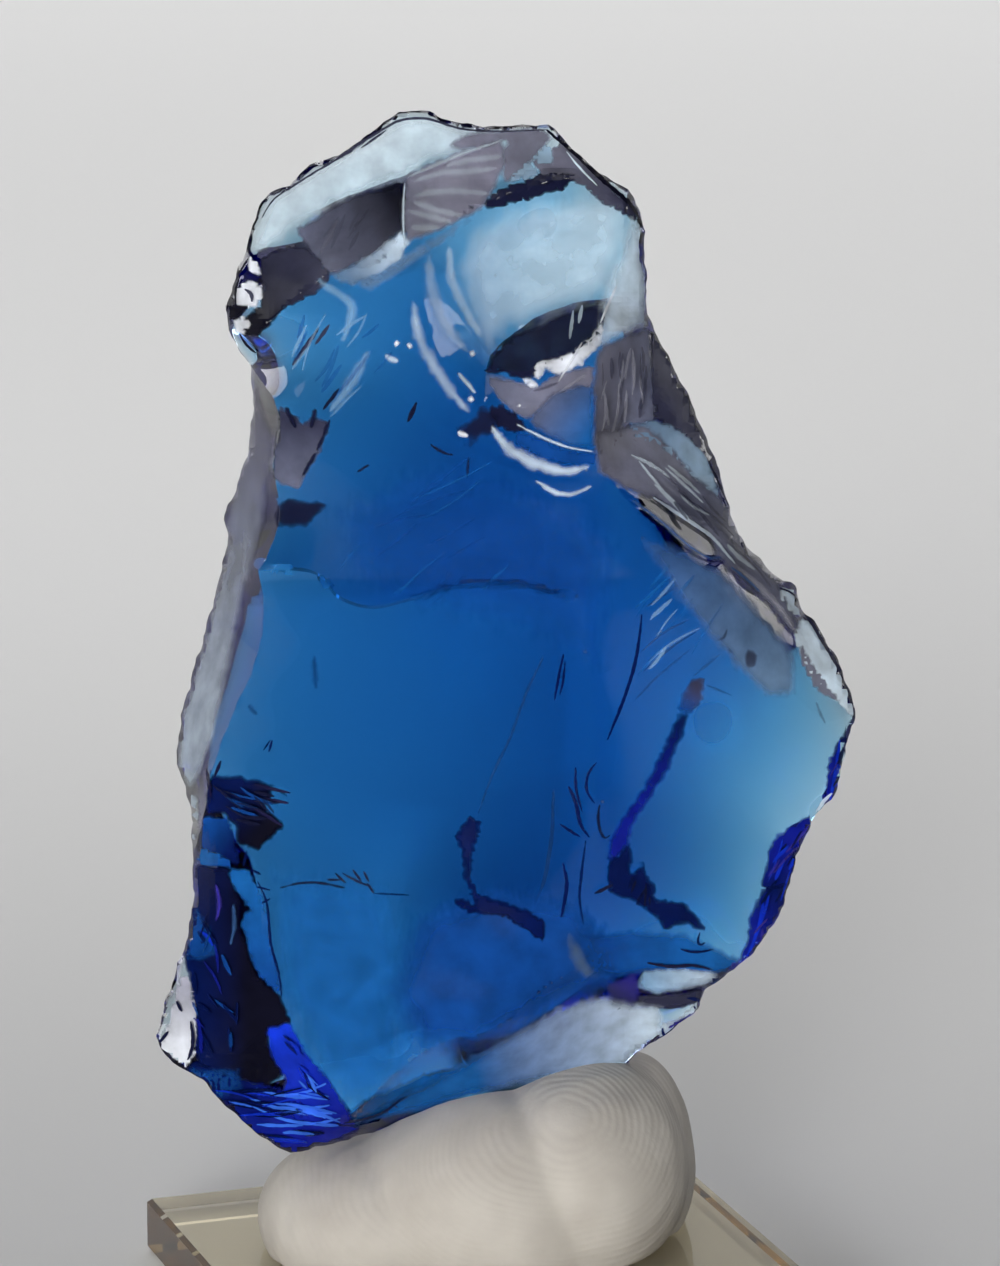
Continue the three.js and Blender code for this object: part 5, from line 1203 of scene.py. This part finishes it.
def cracks_and_painted_light_material():
    """Cracks, and the light and shade painted on the glass: each sheet's own tint, glassy, finely streaked,
    with feathered ends.
    """
    mat, tree, bsdf = material("glass_cracks_and_painted_light", {"Roughness": 0.16, "IOR": 1.15})
    tint = add(tree, "Attribute", {}, attribute_name="tint")
    cover = add(tree, "Attribute", {}, attribute_name="cover")
    fade = add(tree, "Attribute", {}, attribute_name="fade")
    spot = add(tree, "TexCoord", {}).outputs["Object"]

    streaks = add(tree, "TexNoise", {"Vector": spot, "Scale": 700, "Detail": 4})
    level = add(tree, "MapRange", {"Value": streaks.outputs["Fac"], "From Min": 0.3, "From Max": 0.7,
                                   "To Min": 0.8, "To Max": 1.2})
    shade = add(tree, "VectorMath", {}, operation="SCALE")
    feed(tree, shade, {0: tint.outputs["Color"], "Scale": level.outputs["Result"]})
    feed(tree, bsdf, {"Base Color": shade.outputs["Vector"]})
    through = add(tree, "BsdfTranslucent", {"Color": shade.outputs["Vector"]})
    both = add(tree, "MixShader", {"Fac": 0.35, 1: bsdf.outputs["BSDF"], 2: through.outputs["BSDF"]})

    grain = add(tree, "Mapping", {"Vector": spot, "Rotation": (0, 0.6, 0), "Scale": (1500, 1500, 420)})
    feather = add(tree, "TexNoise", {"Vector": grain.outputs["Vector"], "Scale": 1, "Detail": 3})
    edge = add(tree, "MapRange", {"Value": feather.outputs["Fac"], "From Min": 0.35, "From Max": 0.65,
                                  "To Min": 0.0, "To Max": 0.3})
    ramp = add(tree, "MapRange", {"Value": fade.outputs["Fac"], "From Min": edge.outputs["Result"],
                                  "From Max": 1.0}, interpolation_type="SMOOTHSTEP")
    amount = add(tree, "Math", {0: ramp.outputs["Result"], 1: cover.outputs["Fac"]}, operation="MULTIPLY")
    clear = add(tree, "BsdfTransparent", {})
    veil = add(tree, "MixShader", {"Fac": amount.outputs[0], 1: clear.outputs["BSDF"],
                                   2: both.outputs["Shader"]})
    feed(tree, tree.nodes["Material Output"], {"Surface": veil.outputs["Shader"]})
    return mat


def putty_material():
    """Dry white mounting putty: warm, mottled and grainy, with finger ridges around one whorl."""
    mat, tree, bsdf = material("white_putty", {"Roughness": 0.72})
    spot = add(tree, "TexCoord", {}).outputs["Object"]
    mottle = add(tree, "TexNoise", {"Vector": spot, "Scale": 260, "Detail": 6})
    tint = add(tree, "ValToRGB", {"Fac": mottle.outputs["Fac"]})
    dark, light = tint.color_ramp.elements
    dark.position = 0.3
    dark.color = (0.37, 0.34, 0.3, 1)
    light.position = 0.7
    light.color = (0.46, 0.43, 0.385, 1)

    whorl = add(tree, "VectorMath", {0: spot, 1: (4.5 * MM, -4 * MM, 15 * MM)}, operation="DISTANCE")
    drift = add(tree, "TexNoise", {"Vector": spot, "Scale": 75})
    bend = add(tree, "Math", {0: drift.outputs["Fac"], 1: 6 * MM, 2: whorl.outputs["Value"]},
               operation="MULTIPLY_ADD")
    per_metre = 2 * math.pi / (RIDGE_PITCH * MM)
    phase = add(tree, "Math", {0: bend.outputs[0], 1: per_metre}, operation="MULTIPLY")
    ridge = add(tree, "Math", {0: phase.outputs[0]}, operation="SINE")
    ridges = add(tree, "Bump", {"Height": ridge.outputs[0], "Strength": 0.16, "Distance": 0.04 * MM})
    fine = add(tree, "TexNoise", {"Vector": spot, "Scale": 1500, "Detail": 4})
    grain = add(tree, "Bump", {"Height": fine.outputs["Fac"], "Normal": ridges.outputs["Normal"],
                               "Strength": 0.5, "Distance": 0.05 * MM})
    feed(tree, bsdf, {"Base Color": tint.outputs["Color"], "Normal": grain.outputs["Normal"]})
    return mat


# ---------------------------------------------------------------- pieces

glass_mesh = crystal_mesh()
crystal = new_object("crystal_glass", glass_mesh)
report_mesh(crystal.data)
for polygon in crystal.data.polygons:
    polygon.use_smooth = True
crystal.data.set_sharp_from_angle(angle=math.radians(24))
crystal.data.materials.append(clear_material("blue_glass", 0.0, 1.5, (0.02, 0.61, 0.886), 450.0))
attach(crystal, "root")
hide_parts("crystal")

# Sheets on the glass that paint its reflections, sheens, glints and shade, and some of its cracks.
cracks_and_painted_light = new_object("crystal_cracks_and_painted_light", cracks_and_painted_light_mesh(glass_mesh))
cracks_and_painted_light.data.materials.append(cracks_and_painted_light_material())
report_mesh(cracks_and_painted_light.data)
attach(cracks_and_painted_light, "root")
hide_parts("crystal")

putty = new_object("putty_lump", putty_mesh(glass_mesh.copy()))
report_mesh(putty.data)
putty.data.materials.clear()
putty.data.materials.append(putty_material())
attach(putty, "root")
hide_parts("putty")

base = bpy.data.objects["acrylic_base"]
base.data.materials.clear()
base.data.materials.append(clear_material("clear_acrylic", 0.03, 1.49, (0.9, 0.78, 0.4), 110.0))

# ---------------------------------------------------------------- stage, light, camera

bpy.ops.mesh.primitive_plane_add(size=2.0, location=(0, 0, -0.05 * MM))
floor = bpy.context.object
floor.name = "floor"
floor.data.materials.append(material("floor", {"Base Color": (0.62, 0.62, 0.62, 1), "Roughness": 0.9})[0])

scene = bpy.context.scene
world = bpy.data.worlds.new("studio")
scene.world = world
world.use_nodes = True
sky_tree = world.node_tree
split = add(sky_tree, "SeparateXYZ", {"Vector": add(sky_tree, "TexCoord", {}).outputs["Generated"]})


def band(axis, low, high, value_low, value_high):
    """A smooth change along one axis of the sky, from one brightness to another."""
    change = add(sky_tree, "MapRange", {"Value": split.outputs[axis], "From Min": low, "From Max": high,
                                        "To Min": value_low, "To Max": value_high},
                 interpolation_type="SMOOTHSTEP")
    return change.outputs["Result"]


sky = add(sky_tree, "Math", {0: band("Y", -0.1, 0.45, 0.05, 1.0), 1: band("Z", 0.18, 0.62, 1.0, 0.06)},
          operation="MULTIPLY")
feed(sky_tree, sky_tree.nodes["Background"], {"Strength": sky.outputs[0], "Color": (0.66, 0.66, 0.67, 1)})


def softbox(name, location, target, size, power, spread=180):
    """A rectangular light aimed at the target: metres, watts, and the spread of its beam in degrees."""
    data = bpy.data.lights.new(name, "AREA")
    data.shape = "RECTANGLE"
    data.size, data.size_y = size
    data.energy = power
    data.spread = math.radians(spread)
    box = new_object(name, data)
    box.location = location
    box.rotation_euler = (Vector(target) - Vector(location)).to_track_quat("-Z", "Y").to_euler()
    box.visible_camera = False
    return box


def sheen(name, turn, rise, size, radiance):
    """A panel a metre off, for reflections only: turned from back to right, and raised, in degrees."""
    a, e = math.radians(turn), math.radians(rise)
    spot = (math.sin(a) * math.cos(e), math.cos(a) * math.cos(e), math.sin(e) + 0.05)
    panel = softbox(name, spot, (0, 0, 0.05), size, radiance * math.pi * size[0] * size[1])
    panel.visible_diffuse = False


sheen("left_box", -63, 24, (0.5, 0.6), 4.0)
sheen("right_box", 70, 24, (0.4, 0.6), 3.3)
sheen("crown_left", -99, 58, (0.75, 0.6), 1.2)
sheen("crescent", -103, 76, (0.2, 0.2), 10)
sheen("fan_top", 173, 66, (0.34, 0.26), 6.5)
softbox("top_box", (0.0, 0.88, 1.0), (0, 0.86, 0), (1.8, 0.9), 8.3, 100)
strip = softbox("near_strip", (0, 0.04, 0.52), (0, 0.2, 0), (0.7, 0.1), 0.23, 60)
fill = softbox("front_fill", (-0.22, -0.95, 0.16), (0, 0, 0.03), (0.6, 0.2), 0.75, 30)
for box in (strip, fill):      # these two light the surfaces but leave no mirror image in them
    box.visible_glossy = False
    box.visible_transmission = False

# These put the camera at EYE, where the crystal's lines are drawn from.
TARGET = Vector((0.34, 13.5, 36.07)) * MM
DISTANCE = 347.6 * MM
ELEVATION = math.radians(13.76)
lens = bpy.data.cameras.new("camera")
lens.sensor_width = 36
lens.lens = 172.2
lens.clip_start = 0.01
lens.clip_end = 50
camera = new_object("camera", lens)
camera.location = TARGET + DISTANCE * Vector((0, -math.cos(ELEVATION), math.sin(ELEVATION)))
camera.rotation_euler = (math.pi / 2 - ELEVATION, 0, 0)
scene.camera = camera

scene.view_settings.view_transform = "Standard"
scene.cycles.max_bounces = 24
scene.cycles.transmission_bounces = 24
scene.cycles.glossy_bounces = 12
